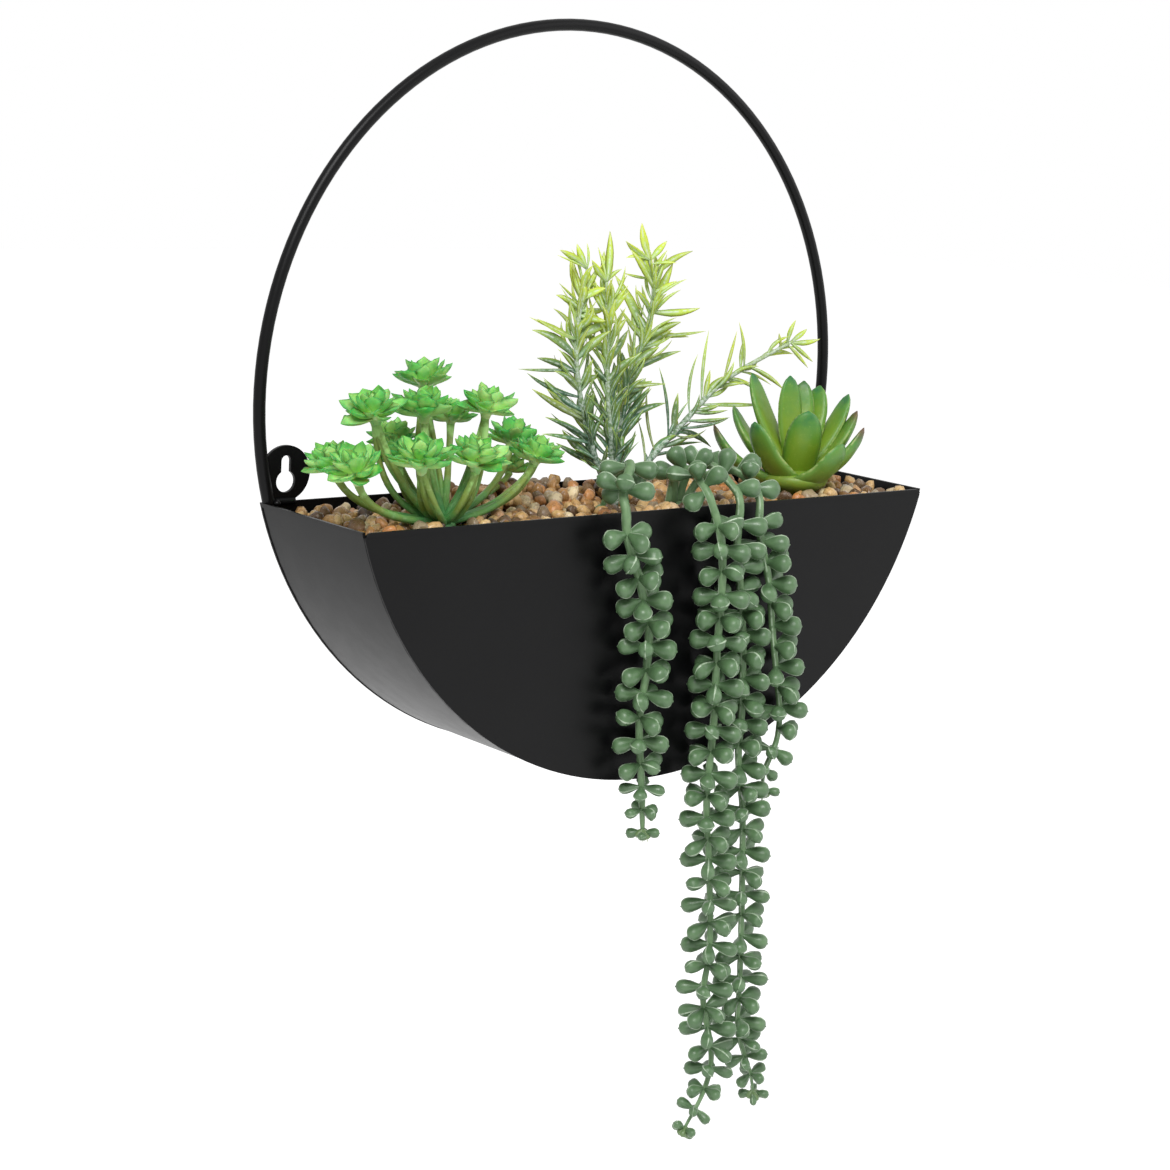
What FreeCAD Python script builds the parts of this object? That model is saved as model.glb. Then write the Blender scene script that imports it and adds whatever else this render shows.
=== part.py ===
import FreeCAD, Part
import math
import os
import random

# Half-round wall planter: a sheet-metal trough completed to a full circle by a rod hoop, with a
# gravel-topped foam insert that holds moulded plastic plants.
# Millimetres, +Z up, the wall is the plane y = 0 and the front faces -Y.
# The origin is on the wall, midway between the round heads of the two keyholes.

V = FreeCAD.Vector

# Trough and hoop
RING_DIAMETER = 310.0  # outside of the circle that trough and hoop make together
TROUGH_DEPTH = 74.0  # wall to the face of the front panel
RIM_DROP = 41.0  # centre of the circle down to the rim
SHEET = 0.8
ROD_DIAMETER = 5.0
HEM_HEIGHT = 1.8  # folded top edge of the sheet
HEM_THICKNESS = 0.5
SEAM_STEP = 0.3  # the flat panels stand this proud of the curved wall
EDGE_ROUND = 0.3
CORNER_ROUND = 2.5  # upper corners of the front panel

# Keyhole tabs
TAB_INSET = 11.0  # end of the rim in to the middle of a tab
KEYHOLE_RISE = 8.0  # rim up to the round head of a keyhole
KEYHOLE_HEAD_DIAMETER = 8.8
KEYHOLE_NECK_WIDTH = 4.4
KEYHOLE_TRAVEL = 8.3  # head centre up to the centre of the neck's round end
TAB_DIAMETER = 22.6
TAB_THICKNESS = 1.5
TAB_FOOT_WIDTH = 10.0
WELD_RADIUS = 1.5
WELD_LENGTH = 7.0
PART_GAP = 0.3  # between curved faces of neighbouring pieces

# Insert
INSERT_CLEARANCE = 0.6
GRAVEL_DROP = 5.0  # rim down to the top of the packed gravel
GRAVEL_THICKNESS = 7.0
STONE_PITCH = 9.5
STONE_RADIUS = 3.6
STONE_HEIGHT = 4.6
STONE_CROWN_GAP = 6.5

# Stakes that hold the plants in the foam
STAKE_DIAMETER = 4.0
STAKE_DEPTH = 45.0
STAKE_POINT = 6.0
STAKE_FIT = 0.06
PULL_TRAVEL = 50.0  # each plant can be pulled straight up this far past the others
PULL_STEP = 5.0

# Where the plants stand: x as a share of the circle's radius, y from the wall
ROSETTE_PLACE = (-0.632, -54.0)
SPRIG_PLACE = (0.039, -34.0)
AGAVE_PLACE = (0.644, -44.0)
LEFT_TRAIL_PLACE = (-0.077, -48.0)
RIGHT_TRAIL_PLACE = (0.168, -51.0)

# Rosette plant: the foot of each head as x from the base, y, height above the rim, and its size
ROSETTE_STEM_DIAMETER = 3.5
ROSETTE_CROWN_DIAMETER = 11.0
ROSETTE_CROWN_HEIGHT = 4.0
ROSETTE_REACH = 12.5
ROSETTE_LEAN = 20.0  # degrees that the outer heads tilt away from the base
ROSETTE_LOWEST_START = 5.0  # degrees above level at which a stem leaves the base
ROSETTE_LEAF_WIDTH = 6.5
ROSETTE_LEAF_THICKNESS = 1.6
ROSETTE_WHORLS = [  # leaf count, share of the reach, elevation, height on the hub, first azimuth
    (6, 1.0, 18.0, 2.6, 0.0),
    (6, 0.8, 42.0, 3.2, 30.0),
    (4, 0.62, 68.0, 3.4, 10.0),
]
ROSETTE_HEADS = [
    (-50.5, -67.0, 18.8, 1.00),
    (-22.5, -69.0, 21.5, 1.00),
    (4.0, -68.0, 20.4, 1.00),
    (44.0, -53.0, 18.2, 0.92),
    (-31.5, -50.0, 37.8, 1.00),
    (-8.0, -49.0, 37.6, 1.00),
    (16.5, -56.0, 39.2, 0.92),
    (8.5, -25.0, 46.0, 0.95),
    (52.5, -26.0, 21.0, 0.90),
    (60.0, -16.0, 8.2, 0.62),
    (-4.0, -23.0, 23.5, 0.82),
    (-44.5, -43.0, 18.0, 0.90),
    (-17.0, -45.0, 20.0, 0.82),
    (16.5, -33.0, 33.0, 0.80),
]

# Sprig plant: the route of each stem as x from the base, y, height above the rim
SPRIG_STEM_DIAMETER = 2.4
SPRIG_CROWN_DIAMETER = 9.0
SPRIG_CROWN_HEIGHT = 5.0
SPRIG_LEAF_LENGTH = 24.0
SPRIG_LEAF_WIDTH = 3.4
SPRIG_LEAF_THICKNESS = 0.9
SPRIG_LEAF_PITCH = 9.0
SPRIG_LEAF_SPREAD = 42.0  # degrees between a leaf and its stem
SPRIG_ROUTES = [
    [(-3.0, -34.5, 0.0), (-12.5, -34.5, 15.0), (-22.5, -35.0, 40.0), (-27.5, -36.0, 66.0),
     (-23.0, -35.0, 95.0)],
    [(-1.0, -36.5, 0.0), (-5.5, -37.5, 14.0), (-11.0, -38.5, 42.0), (-13.5, -39.0, 68.0),
     (-15.5, -39.0, 90.0)],
    [(1.5, -32.0, 0.0), (3.5, -30.5, 24.0), (5.5, -30.0, 46.0), (14.5, -29.0, 64.0),
     (19.5, -28.0, 82.0), (16.5, -28.0, 98.0)],
    [(3.0, -34.5, 0.0), (17.5, -30.0, 9.5), (44.5, -22.0, 25.5), (76.5, -14.0, 43.5),
     (117.0, -13.0, 60.0)],
]

# Agave: its leaves as azimuth, elevation, length, width and height of the foot
AGAVE_CROWN_DIAMETER = 16.0
AGAVE_CROWN_HEIGHT = 12.0
AGAVE_FOOT = 1.5
AGAVE_LEAF_LIFT = 8.0  # degrees that a leaf steepens at each third of its length
AGAVE_LEAF_THICKNESS = 6.0
AGAVE_LEAVES = [
    (147.0, 25.0, 44.0, 13.0, 4.0),
    (183.0, 38.0, 37.0, 16.0, 3.5),
    (280.0, 32.0, 32.0, 17.0, 3.0),
    (306.0, 33.0, 37.0, 13.0, 4.0),
    (331.0, 39.0, 38.0, 13.0, 5.0),
    (60.0, 35.0, 34.0, 13.0, 5.0),
    (126.0, 37.0, 42.0, 14.0, 6.0),
    (351.0, 44.0, 44.0, 12.5, 7.0),
    (243.0, 56.0, 35.0, 17.0, 6.0),
    (111.0, 49.0, 48.0, 15.0, 8.0),
    (21.0, 51.0, 42.0, 14.0, 8.0),
    (41.0, 58.0, 41.0, 12.0, 9.0),
    (81.0, 67.0, 41.0, 13.0, 10.0),
]

# Trailing plants: the line that the strands fold over, and their routes as x from the stake, distance
# out from the front panel (a root: distance from the wall) and height above the rim
TRAIL_STEM_DIAMETER = 3.0
TRAIL_BEND = 9.0
TRAIL_KNUCKLE_DIAMETER = 3.6
TRAIL_KNUCKLE_LENGTH = 3.6
TRAIL_FOLD_OUT = 10.0  # front panel out to the fold line
TRAIL_FOLD_RISE = 3.0  # rim up to the fold line
SWING_STEPS = (0, 10, 20, 30, 40, 50)  # degrees, up to the furthest a strand swings out
STRAND_LIMIT = 22.4  # the left strand ends this far to the left of the right stake
STRAND_SPACE = 1.0  # between the left strand's side and the others'
TRAIL_LEAF_LENGTH = 12.5
TRAIL_LEAF_DIAMETER = 7.4
TRAIL_LEAF_NECK = 2.0
TRAIL_LEAF_PITCH = 9.4
TRAIL_LEAF_GAP = 0.35
TRAIL_LEAVES_PER_NODE = 4
TRAIL_TAPER = 36.0  # length of a strand's end along which its leaves get smaller
TRAIL_SMALLEST = 0.55  # size of its last leaves
WHORL_NUDGES = (0, 15, -15, 30, -30, 42, -42)  # degrees that a leaf may be turned to clear its neighbours
TRAIL_CROWN_DIAMETER = 8.0
TRAIL_CROWN_HEIGHT = 3.0
ROOT_ROUTES = [
    [(0.0, 48.0, -3.0), (0.5, 54.0, 11.0), (-2.0, 66.0, 18.5), (-12.5, 76.5, 13.0), (-17.0, 80.5, 8.2)],
    [(-2.5, 51.0, -3.0), (-4.5, 54.0, 9.0), (-8.0, 66.0, 14.5), (-10.5, 78.0, 10.0)],
    [(0.5, 51.0, -3.0), (2.0, 54.0, 10.0), (4.0, 66.0, 15.5), (5.0, 77.0, 10.0)],
    [(3.0, 51.0, -3.0), (9.0, 55.0, 8.0), (15.5, 66.0, 13.0), (17.0, 77.0, 9.0)],
]
ROOT_LEAVES = [  # by root: share of its length, azimuth and elevation of each leaf
    [(0.5, 321.0, -8.0), (0.5, 141.0, -10.0), (0.87, 231.0, 30.0), (0.87, 165.0, 26.0), (0.87, 120.0, -20.0),
     (0.87, 312.0, 2.0), (0.3, 318.0, -8.0)],
    [(0.5, 150.0, 55.0), (0.62, 330.0, 52.0), (0.86, 300.0, 42.0), (0.78, 231.0, 46.0), (0.92, 165.0, -30.0),
     (0.68, 160.0, 5.0), (0.38, 141.0, 8.0)],
    [(0.74, 20.0, 70.0), (0.9, 330.0, 5.0), (0.45, 100.0, 40.0)],
    [(0.64, 321.0, 34.0), (0.82, 231.0, 52.0), (0.9, 325.0, -5.0), (0.48, 60.0, 30.0)],
]
ROOT_NUDGES = (0, 14, -14, 28, -28)  # degrees that a leaf may be turned to clear its neighbours
TRAIL_ROUTES = [
    [(-18.0, 10.0, 3.0), (-16.0, 9.5, -8.0), (-9.0, 9.5, -25.0), (-2.0, 9.5, -46.0), (-2.0, 9.5, -66.0),
     (-4.0, 9.5, -86.0), (-1.0, 9.5, -112.0), (1.3, 9.5, -134.0)],
    [(-10.0, 10.0, 3.0), (-6.5, 13.5, -13.0), (-6.0, 15.0, -34.0), (-6.5, 15.0, -56.0), (-5.0, 14.0, -90.0),
     (-6.0, 14.0, -124.0), (-1.0, 13.0, -156.0), (2.0, 13.0, -190.0), (0.0, 13.0, -212.0),
     (7.0, 13.0, -239.0), (4.0, 13.0, -255.0), (-6.0, 13.0, -270.5)],
    [(5.5, 10.0, 3.0), (6.5, 9.0, -16.0), (12.0, 9.0, -48.0), (15.0, 9.0, -84.0), (15.0, 9.0, -108.0),
     (19.0, 9.5, -132.0), (22.0, 9.5, -170.0), (24.0, 9.5, -208.0), (25.0, 9.5, -232.0),
     (34.0, 9.5, -254.0), (36.8, 9.5, -264.0)],
    [(16.5, 10.0, 3.0), (18.0, 9.5, -10.0), (25.5, 9.5, -33.0), (29.0, 9.5, -52.0), (34.0, 9.5, -76.0),
     (37.0, 9.5, -92.0), (36.0, 9.5, -104.0), (30.0, 9.5, -117.0), (30.5, 9.5, -125.0)],
]

# Sizes that follow from the ones above
ring_r = RING_DIAMETER / 2
rod_r = ROD_DIAMETER / 2
rim_half = math.sqrt(ring_r ** 2 - RIM_DROP ** 2)
keyhole_x = round(rim_half - TAB_INSET, 1)
rim_z = -KEYHOLE_RISE
ring_z = rim_z + RIM_DROP
front_y = -TROUGH_DEPTH
wall_r = ring_r - SEAM_STEP
insert_r = wall_r - SHEET - INSERT_CLEARANCE
insert_front = front_y + SHEET + INSERT_CLEARANCE
insert_back = -ROD_DIAMETER - INSERT_CLEARANCE
gravel_top = rim_z - GRAVEL_DROP
foam_top = gravel_top - GRAVEL_THICKNESS
tab_r = TAB_DIAMETER / 2
tab_z = rim_z + tab_r
fold_y = front_y - TRAIL_FOLD_OUT
fold_z = rim_z + TRAIL_FOLD_RISE
leaf_r = TRAIL_LEAF_DIAMETER / 2
stem_r = TRAIL_STEM_DIAMETER / 2
bulb_start = TRAIL_LEAF_LENGTH - 1.7 * leaf_r
out_limit = front_y - HEM_THICKNESS - TRAIL_LEAF_GAP
strand_limit = RIGHT_TRAIL_PLACE[0] * ring_r - STRAND_LIMIT

nodes = {}


def disc(radius, x, z, y0, y1):
    return Part.makeCylinder(radius, y1 - y0, V(x, y0, z), V(0, 1, 0))


def band(z0, z1):
    return Part.makeBox(4 * ring_r, 4 * ring_r, z1 - z0, V(-2 * ring_r, -2 * ring_r, z0))


def segment(radius, y0, y1, z0, z1):
    return disc(radius, 0, ring_z, y0, y1).common(band(z0, z1))


def joined(shapes):
    whole = shapes[0]
    for shape in shapes[1:]:
        whole = whole.fuse(shape)
    return whole.removeSplitter()


def rim_edges(shape, direction):
    """Straight edges in the rim's plane that run along the direction."""
    found = []
    for edge in shape.Edges:
        ends = [v.Point for v in edge.Vertexes]
        if len(ends) == 2 and all(abs(p.z - rim_z) < 1e-6 for p in ends):
            run = ends[1] - ends[0]
            if run.Length > SHEET and abs(run.normalize() * direction) > 0.999:
                found.append(edge)
    return found


def hoop_tube(extra):
    return Part.makeTorus(ring_r - rod_r, rod_r + extra, V(0, -rod_r, ring_z), V(0, 1, 0))


# Metalwork

def front_panel():
    plate = segment(ring_r, front_y, front_y + SHEET, ring_z - 2 * ring_r, rim_z)
    hem = segment(ring_r, front_y - HEM_THICKNESS, front_y, rim_z - HEM_HEIGHT, rim_z)
    panel = joined([plate, hem])
    panel = panel.makeFillet(CORNER_ROUND, rim_edges(panel, V(0, 1, 0)))
    return panel.makeFillet(EDGE_ROUND, rim_edges(panel, V(1, 0, 0)))


def back_panel():
    return segment(ring_r, -SHEET, 0, ring_z - 2 * ring_r, rim_z)


def curved_wall():
    y0 = front_y + SHEET
    bore = disc(wall_r - SHEET, 0, ring_z, y0, -SHEET)
    sheet = disc(wall_r, 0, ring_z, y0, -SHEET).cut(bore).common(band(ring_z - 2 * ring_r, rim_z))
    fold = disc(wall_r + HEM_THICKNESS, 0, ring_z, y0, -SHEET).cut(disc(wall_r, 0, ring_z, y0, -SHEET))
    hem = fold.common(band(rim_z - HEM_HEIGHT, rim_z))
    return joined([sheet, *hem.Solids])


def keyhole_tab(side):
    x = side * keyhole_x
    plate = disc(tab_r, x, tab_z, -TAB_THICKNESS, 0)
    foot = Part.makeBox(TAB_FOOT_WIDTH, TAB_THICKNESS, tab_r,
                        V(x - TAB_FOOT_WIDTH / 2, -TAB_THICKNESS, rim_z))
    neck = Part.makeBox(KEYHOLE_NECK_WIDTH, TAB_THICKNESS, KEYHOLE_TRAVEL,
                        V(x - KEYHOLE_NECK_WIDTH / 2, -TAB_THICKNESS, 0))
    tab = joined([plate, foot])
    tab = tab.cut(disc(KEYHOLE_HEAD_DIAMETER / 2, x, 0, -TAB_THICKNESS, 0))
    tab = tab.cut(neck)
    tab = tab.cut(disc(KEYHOLE_NECK_WIDTH / 2, x, KEYHOLE_TRAVEL, -TAB_THICKNESS, 0))
    return tab.cut(hoop_tube(PART_GAP))


def weld_bead(x, y, length):
    """Round-ended bead that lies along X at the rim."""
    start = V(x - length / 2, y, rim_z)
    return joined([
        Part.makeCylinder(WELD_RADIUS, length, start, V(1, 0, 0)),
        Part.makeSphere(WELD_RADIUS, start),
        Part.makeSphere(WELD_RADIUS, start + V(length, 0, 0)),
    ])


def build_metalwork():
    nodes["front_panel"] = front_panel()
    nodes["back_panel"] = back_panel()
    nodes["curved_wall"] = curved_wall()
    nodes["hoop"] = hoop_tube(0).cut(band(ring_z - 2 * ring_r, rim_z))
    end_x = rim_half - ROD_DIAMETER
    for side, name in ((-1, "left"), (1, "right")):
        tab = keyhole_tab(side)
        nodes["keyhole_tab_" + name] = tab
        bead = weld_bead(side * keyhole_x, -TAB_THICKNESS, WELD_LENGTH)
        nodes["tab_weld_" + name] = bead.cut(tab).cut(nodes["back_panel"])
        blob = Part.makeSphere(WELD_RADIUS, V(side * end_x, -ROD_DIAMETER, rim_z))
        nodes["hoop_weld_" + name] = blob.cut(hoop_tube(PART_GAP)).cut(band(rim_z - ROD_DIAMETER, rim_z))


# Shared plant pieces

def polyhedron(rings):
    """Closed solid through rings of points; a ring of one point is a tip."""
    faces = []
    for low, high in zip(rings, rings[1:]):
        count = max(len(low), len(high))
        for i in range(count):
            a, b = low[i % len(low)], low[(i + 1) % len(low)]
            c, d = high[i % len(high)], high[(i + 1) % len(high)]
            if len(low) > 1:
                faces.append(Part.Face(Part.makePolygon([a, b, c, a])))
            if len(high) > 1:
                faces.append(Part.Face(Part.makePolygon([b, d, c, b])))
    for ring in (rings[0], rings[-1]):
        if len(ring) > 1:
            faces.append(Part.Face(Part.makePolygon([*ring, ring[0]])))
    shell = Part.makeShell(faces)
    shell.sewShape()
    solid = Part.makeSolid(shell)
    if solid.Volume < 0:
        solid.reverse()
    return solid


def frame_of(direction, up):
    """Unit side and normal vectors of a leaf that points along the direction."""
    side = direction.cross(up).normalize()
    return side, side.cross(direction).normalize()


def diamond(centre, side, normal, width, thickness):
    return [
        centre + side * (width / 2),
        centre + normal * (thickness / 2),
        centre - side * (width / 2),
        centre - normal * (thickness / 2),
    ]


def blade(base, direction, up, length, width, thickness):
    """Pointed leaf, widest past its middle."""
    side, normal = frame_of(direction, up)
    root = diamond(base, side, normal, width * 0.4, thickness * 0.8)
    middle = diamond(base + direction * (length * 0.55), side, normal, width, thickness)
    return polyhedron([root, middle, [base + direction * length]])


def polar(azimuth, elevation):
    a, e = math.radians(azimuth), math.radians(elevation)
    return V(math.cos(a) * math.cos(e), math.sin(a) * math.cos(e), math.sin(e))


def rounded_route(points, bend):
    """Straight runs joined by tangent arcs at the inner points."""
    edges = []
    last = points[0]
    for before, point, after in zip(points, points[1:], points[2:]):
        a = (before - point).normalize()
        b = (after - point).normalize()
        half = a.getAngle(b) / 2
        trim = min(bend / math.tan(half), 0.45 * min((before - point).Length, (after - point).Length))
        radius = trim * math.tan(half)
        start, end = point + a * trim, point + b * trim
        middle = point + (a + b).normalize() * (radius / math.sin(half) - radius)
        edges.append(Part.makeLine(last, start))
        edges.append(Part.Arc(start, middle, end).toShape())
        last = end
    edges.append(Part.makeLine(last, points[-1]))
    return Part.Wire(edges)


def swept(wire, radius):
    edge = wire.OrderedEdges[0]
    start = edge.FirstParameter
    profile = Part.Wire(Part.makeCircle(radius, edge.valueAt(start), edge.tangentAt(start)))
    return wire.makePipeShell([profile], True, False)


def stake(x, y, crown_diameter, crown_height):
    """Pointed stake under a round crown that stands on the gravel."""
    r = STAKE_DIAMETER / 2
    foot = gravel_top - STAKE_DEPTH
    shaft = Part.makeCylinder(r, STAKE_DEPTH - STAKE_POINT, V(x, y, foot + STAKE_POINT))
    point = Part.makeCone(0.4, r, STAKE_POINT, V(x, y, foot))
    crown = Part.makeCone(crown_diameter / 2, crown_diameter / 2 - 1, crown_height, V(x, y, gravel_top))
    return joined([shaft, point, crown])


def gap_between(first, second):
    """Space between two rods with round ends, each given as two ends and a radius."""
    p, q, r = first
    a, b, s = second
    u, v, w = q - p, b - a, p - a
    uu, uv, vv, uw, vw = u * u, u * v, v * v, u * w, v * w
    det = uu * vv - uv * uv
    t = 0.0 if det < 1e-9 else min(1.0, max(0.0, (uv * vw - vv * uw) / det))
    k = 0.0 if vv < 1e-9 else min(1.0, max(0.0, (uv * t + vw) / vv))
    t = 0.0 if uu < 1e-9 else min(1.0, max(0.0, (uv * k - uw) / uu))
    return (p + u * t - a - v * k).Length - r - s


def passes(rod, other):
    """Whether two rods of different plants stay clear while one of the plants is pulled up."""
    p, q, r = rod
    a, b, s = other
    reach = r + s + PART_GAP
    if min(p.x, q.x) - max(a.x, b.x) > reach or min(a.x, b.x) - max(p.x, q.x) > reach:
        return True
    if min(p.y, q.y) - max(a.y, b.y) > reach or min(a.y, b.y) - max(p.y, q.y) > reach:
        return True
    steps = int(PULL_TRAVEL / PULL_STEP)
    lifts = [V(0, 0, PULL_STEP * i) for i in range(-steps, steps + 1)]
    return all(gap_between(rod, (a + lift, b + lift, s)) >= PART_GAP for lift in lifts)


def clear_of(rods, owner):
    """Whether rods of one piece, named plant/piece, stay clear of all the others."""
    plant = owner.split("/")[0]
    for name, other in taken:
        if name == owner:
            continue
        if name.split("/")[0] == plant:
            free = all(gap_between(rod, other) >= PART_GAP for rod in rods)
        else:
            free = all(passes(rod, other) for rod in rods)
        if not free:
            return False
    return True


def rods_of(points, radius):
    return [(a, b, radius) for a, b in zip(points, points[1:])]


def stand(place):
    """Spot of a plant's stake, noted so that the insert gets a hole for it."""
    spot = (place[0] * ring_r, place[1])
    stake_places.append(spot)
    return spot


def along(wire, spacing):
    """Points one spacing apart on a wire, each with the direction of travel."""
    count = int(wire.Length / spacing)
    points = wire.discretize(Number=10 * count + 1)
    return [(points[10 * i], (points[min(10 * i + 1, 10 * count)] - points[10 * i - 1]).normalize())
            for i in range(1, count + 1)]


def around(direction, azimuth):
    """Unit vector square to the direction; azimuth 0 is sideways, 90 is towards the front."""
    side = V(0, -1, 0).cross(direction).normalize()
    front = direction.cross(side)
    a = math.radians(azimuth)
    return side * math.cos(a) + front * math.sin(a)


taken = []
stake_places = []


# Rosette plant

def rosette_head(size):
    """Cupped head of three whorls on a short hub, its foot at the origin."""
    parts = [Part.makeCone(ROSETTE_STEM_DIAMETER / 2, 3.4 * size, 4.0 * size)]
    for count, reach, elevation, height, turn in ROSETTE_WHORLS:
        for i in range(count):
            out = polar(turn + 360.0 * i / count, elevation)
            foot = V(out.x, out.y, height) * size
            width = ROSETTE_LEAF_WIDTH * (1 + reach) / 2
            parts.append(blade(foot, out, V(0, 0, 1), ROSETTE_REACH * reach * size, width * size,
                               ROSETTE_LEAF_THICKNESS * size))
    return joined(parts)


def rosette_stem(base, top, axis):
    """Route that leaves the base low and arrives at the top along the head's axis."""
    flat = V(top.x - base.x, top.y - base.y, 0)
    run, rise = flat.Length, top.z - base.z
    slope = math.atan2(rise, run)
    start = math.tan(max(1.5 * slope - math.pi / 4, math.radians(ROSETTE_LOWEST_START)))
    lean = math.hypot(axis.x, axis.y)
    corner = top - axis * ((rise - run * start) / (axis.z - lean * start))
    return rounded_route([base, corner, top], RING_DIAMETER)


def build_rosette_plant():
    x, y = stand(ROSETTE_PLACE)
    base = V(x, y, gravel_top + ROSETTE_STEM_DIAMETER / 2 + 1)
    stems = [stake(x, y, ROSETTE_CROWN_DIAMETER, ROSETTE_CROWN_HEIGHT)]
    for i, (dx, hy, height, size) in enumerate(ROSETTE_HEADS):
        top = V(x + dx, hy, rim_z + height)
        away = V(dx, hy - y, 0)
        tilt = ROSETTE_LEAN * min(1.0, away.Length / 50.0)
        azimuth = math.degrees(math.atan2(away.y, away.x))
        wire = rosette_stem(base, top, polar(azimuth, 90.0 - tilt))
        stems.append(swept(wire, ROSETTE_STEM_DIAMETER / 2))
        taken.extend(("rosette", rod) for rod in rods_of(wire.discretize(12), ROSETTE_STEM_DIAMETER / 2))
        head = rosette_head(size)
        head.rotate(V(0, 0, 0), V(0, 0, 1), 47.0 * i)
        head.rotate(V(0, 0, 0), V(-away.y, away.x, 0), tilt)
        head.translate(top)
        taken.append(("rosette", (top + V(0, 0, 5), top + V(0, 0, 7), ROSETTE_REACH * size)))
        nodes["rosette_head_%02d" % (i + 1)] = head
    nodes["rosette_stems"] = joined(stems)


# Agave

def thick_section(centre, side, normal, width, thickness):
    w, t = width / 2, thickness / 2
    across = ((w, 0), (w / 2, t), (-w / 2, t), (-w, 0), (-w / 2, -t), (w / 2, -t))
    return [centre + side * u + normal * v for u, v in across]


def agave_leaf(base, azimuth, elevation, length, width):
    """Thick leaf that curves up towards its point."""
    rings = []
    centre = base
    for run, share, thick in ((0.0, 0.66, 0.9), (0.45, 1.0, 1.0), (0.32, 0.8, 0.7)):
        direction = polar(azimuth, elevation + AGAVE_LEAF_LIFT * len(rings))
        centre = centre + direction * (run * length)
        side, normal = frame_of(direction, V(0, 0, 1))
        rings.append(thick_section(centre, side, normal, width * share, AGAVE_LEAF_THICKNESS * thick))
        half = side * (width / 4)
        taken.append(("agave", (centre - half, centre + half, AGAVE_LEAF_THICKNESS * 0.7)))
    tip = centre + polar(azimuth, elevation + AGAVE_LEAF_LIFT * 3) * (0.23 * length)
    taken.append(("agave", (base, centre, AGAVE_LEAF_THICKNESS * 0.7)))
    taken.append(("agave", (centre, tip, AGAVE_LEAF_THICKNESS * 0.4)))
    return polyhedron([*rings, [tip]])


def build_agave():
    x, y = stand(AGAVE_PLACE)
    nodes["agave_stake"] = stake(x, y, AGAVE_CROWN_DIAMETER - 4, AGAVE_FOOT)
    foot = gravel_top + AGAVE_FOOT
    pieces = [Part.makeCone(AGAVE_CROWN_DIAMETER / 2, 3.0, AGAVE_CROWN_HEIGHT, V(x, y, foot))]
    for azimuth, elevation, length, width, height in AGAVE_LEAVES:
        base = V(x, y, foot + height) + polar(azimuth, 0) * 2.0
        pieces.append(agave_leaf(base, azimuth, elevation, length, width))
    nodes["agave_head"] = joined(pieces)


# Sprig plant

def sprig_leaf(point, direction, azimuth, spread, length, owner):
    """Leaf at one place of a stem, turned where something is in the way; None if nothing is free."""
    for nudge in (0, 18, -18, 36, -36, 52, -52):
        out = around(direction, azimuth + nudge)
        aim = direction * math.cos(spread) + out * math.sin(spread)
        foot = point + out * 0.6
        rod = (foot + aim * 2.5, foot + aim * length, SPRIG_LEAF_WIDTH * 0.45)
        if max(rod[0].y, rod[1].y) < insert_back - 1 and clear_of([rod], owner):
            taken.append((owner, rod))
            return blade(foot, aim, direction, length, SPRIG_LEAF_WIDTH, SPRIG_LEAF_THICKNESS)
    return None


def build_sprig_plant():
    x, y = stand(SPRIG_PLACE)
    stems = [stake(x, y, SPRIG_CROWN_DIAMETER, SPRIG_CROWN_HEIGHT)]
    wires = []
    for n, route in enumerate(SPRIG_ROUTES):
        wire = rounded_route([V(x + dx, dy, rim_z + h) for dx, dy, h in route], RING_DIAMETER)
        wires.append(wire)
        stems.append(swept(wire, SPRIG_STEM_DIAMETER / 2))
        rods = rods_of(wire.discretize(16), SPRIG_STEM_DIAMETER / 2)
        taken.extend(("sprig/%d" % n, rod) for rod in rods)
    for n, wire in enumerate(wires):
        leaves = []
        whorls = along(wire, SPRIG_LEAF_PITCH)
        for i, (point, direction) in enumerate(whorls[1:]):
            length = SPRIG_LEAF_LENGTH * (1.0 - 0.25 * i / len(whorls))
            spread = math.radians(SPRIG_LEAF_SPREAD - 14.0 * i / len(whorls))
            for k in range(3):
                azimuth = 60.0 * i + 120.0 * k + 35.0 * n
                leaf = sprig_leaf(point, direction, azimuth, spread, length, "sprig/%d" % n)
                if leaf:
                    leaves.append(leaf)
        nodes["sprig_leaves_%d" % (n + 1)] = Part.makeCompound(leaves)
    nodes["sprig_stems"] = joined(stems)


# Trailing plants

def pearl_leaf():
    """Round-ended leaf on a thin neck, its foot at the origin and its end up +Z."""
    neck, middle = TRAIL_LEAF_NECK / 2, TRAIL_LEAF_LENGTH - leaf_r
    shoulder = V(leaf_r * math.cos(0.6), 0, middle - leaf_r * math.sin(0.6))
    outline = [
        Part.makeLine(V(0, 0, 0), V(neck, 0, 0)),
        Part.makeLine(V(neck, 0, 0), V(neck, 0, 2.6)),
        Part.makeLine(V(neck, 0, 2.6), shoulder),
        Part.Arc(shoulder, V(leaf_r, 0, middle), V(0, 0, middle + leaf_r)).toShape(),
        Part.makeLine(V(0, 0, middle + leaf_r), V(0, 0, 0)),
    ]
    return Part.Face(Part.Wire(outline)).revolve(V(0, 0, 0), V(0, 0, 1), 360)


def leaf_rods(point, aim, size):
    """The round end and the neck of a pearl leaf."""
    bulb, centre = point + aim * (bulb_start * size), point + aim * ((TRAIL_LEAF_LENGTH - leaf_r) * size)
    return [
        (bulb, centre, leaf_r * size),
        (point + aim * size, bulb, TRAIL_LEAF_NECK * 0.8 * size),
    ]


def swung(point, angle):
    """Where a point of a hanging strand goes when the strand swings out by the angle."""
    a = math.radians(angle)
    y, z = point.y - fold_y, point.z - fold_z
    return V(point.x, fold_y + y * math.cos(a) + z * math.sin(a), fold_z - y * math.sin(a) + z * math.cos(a))


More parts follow.
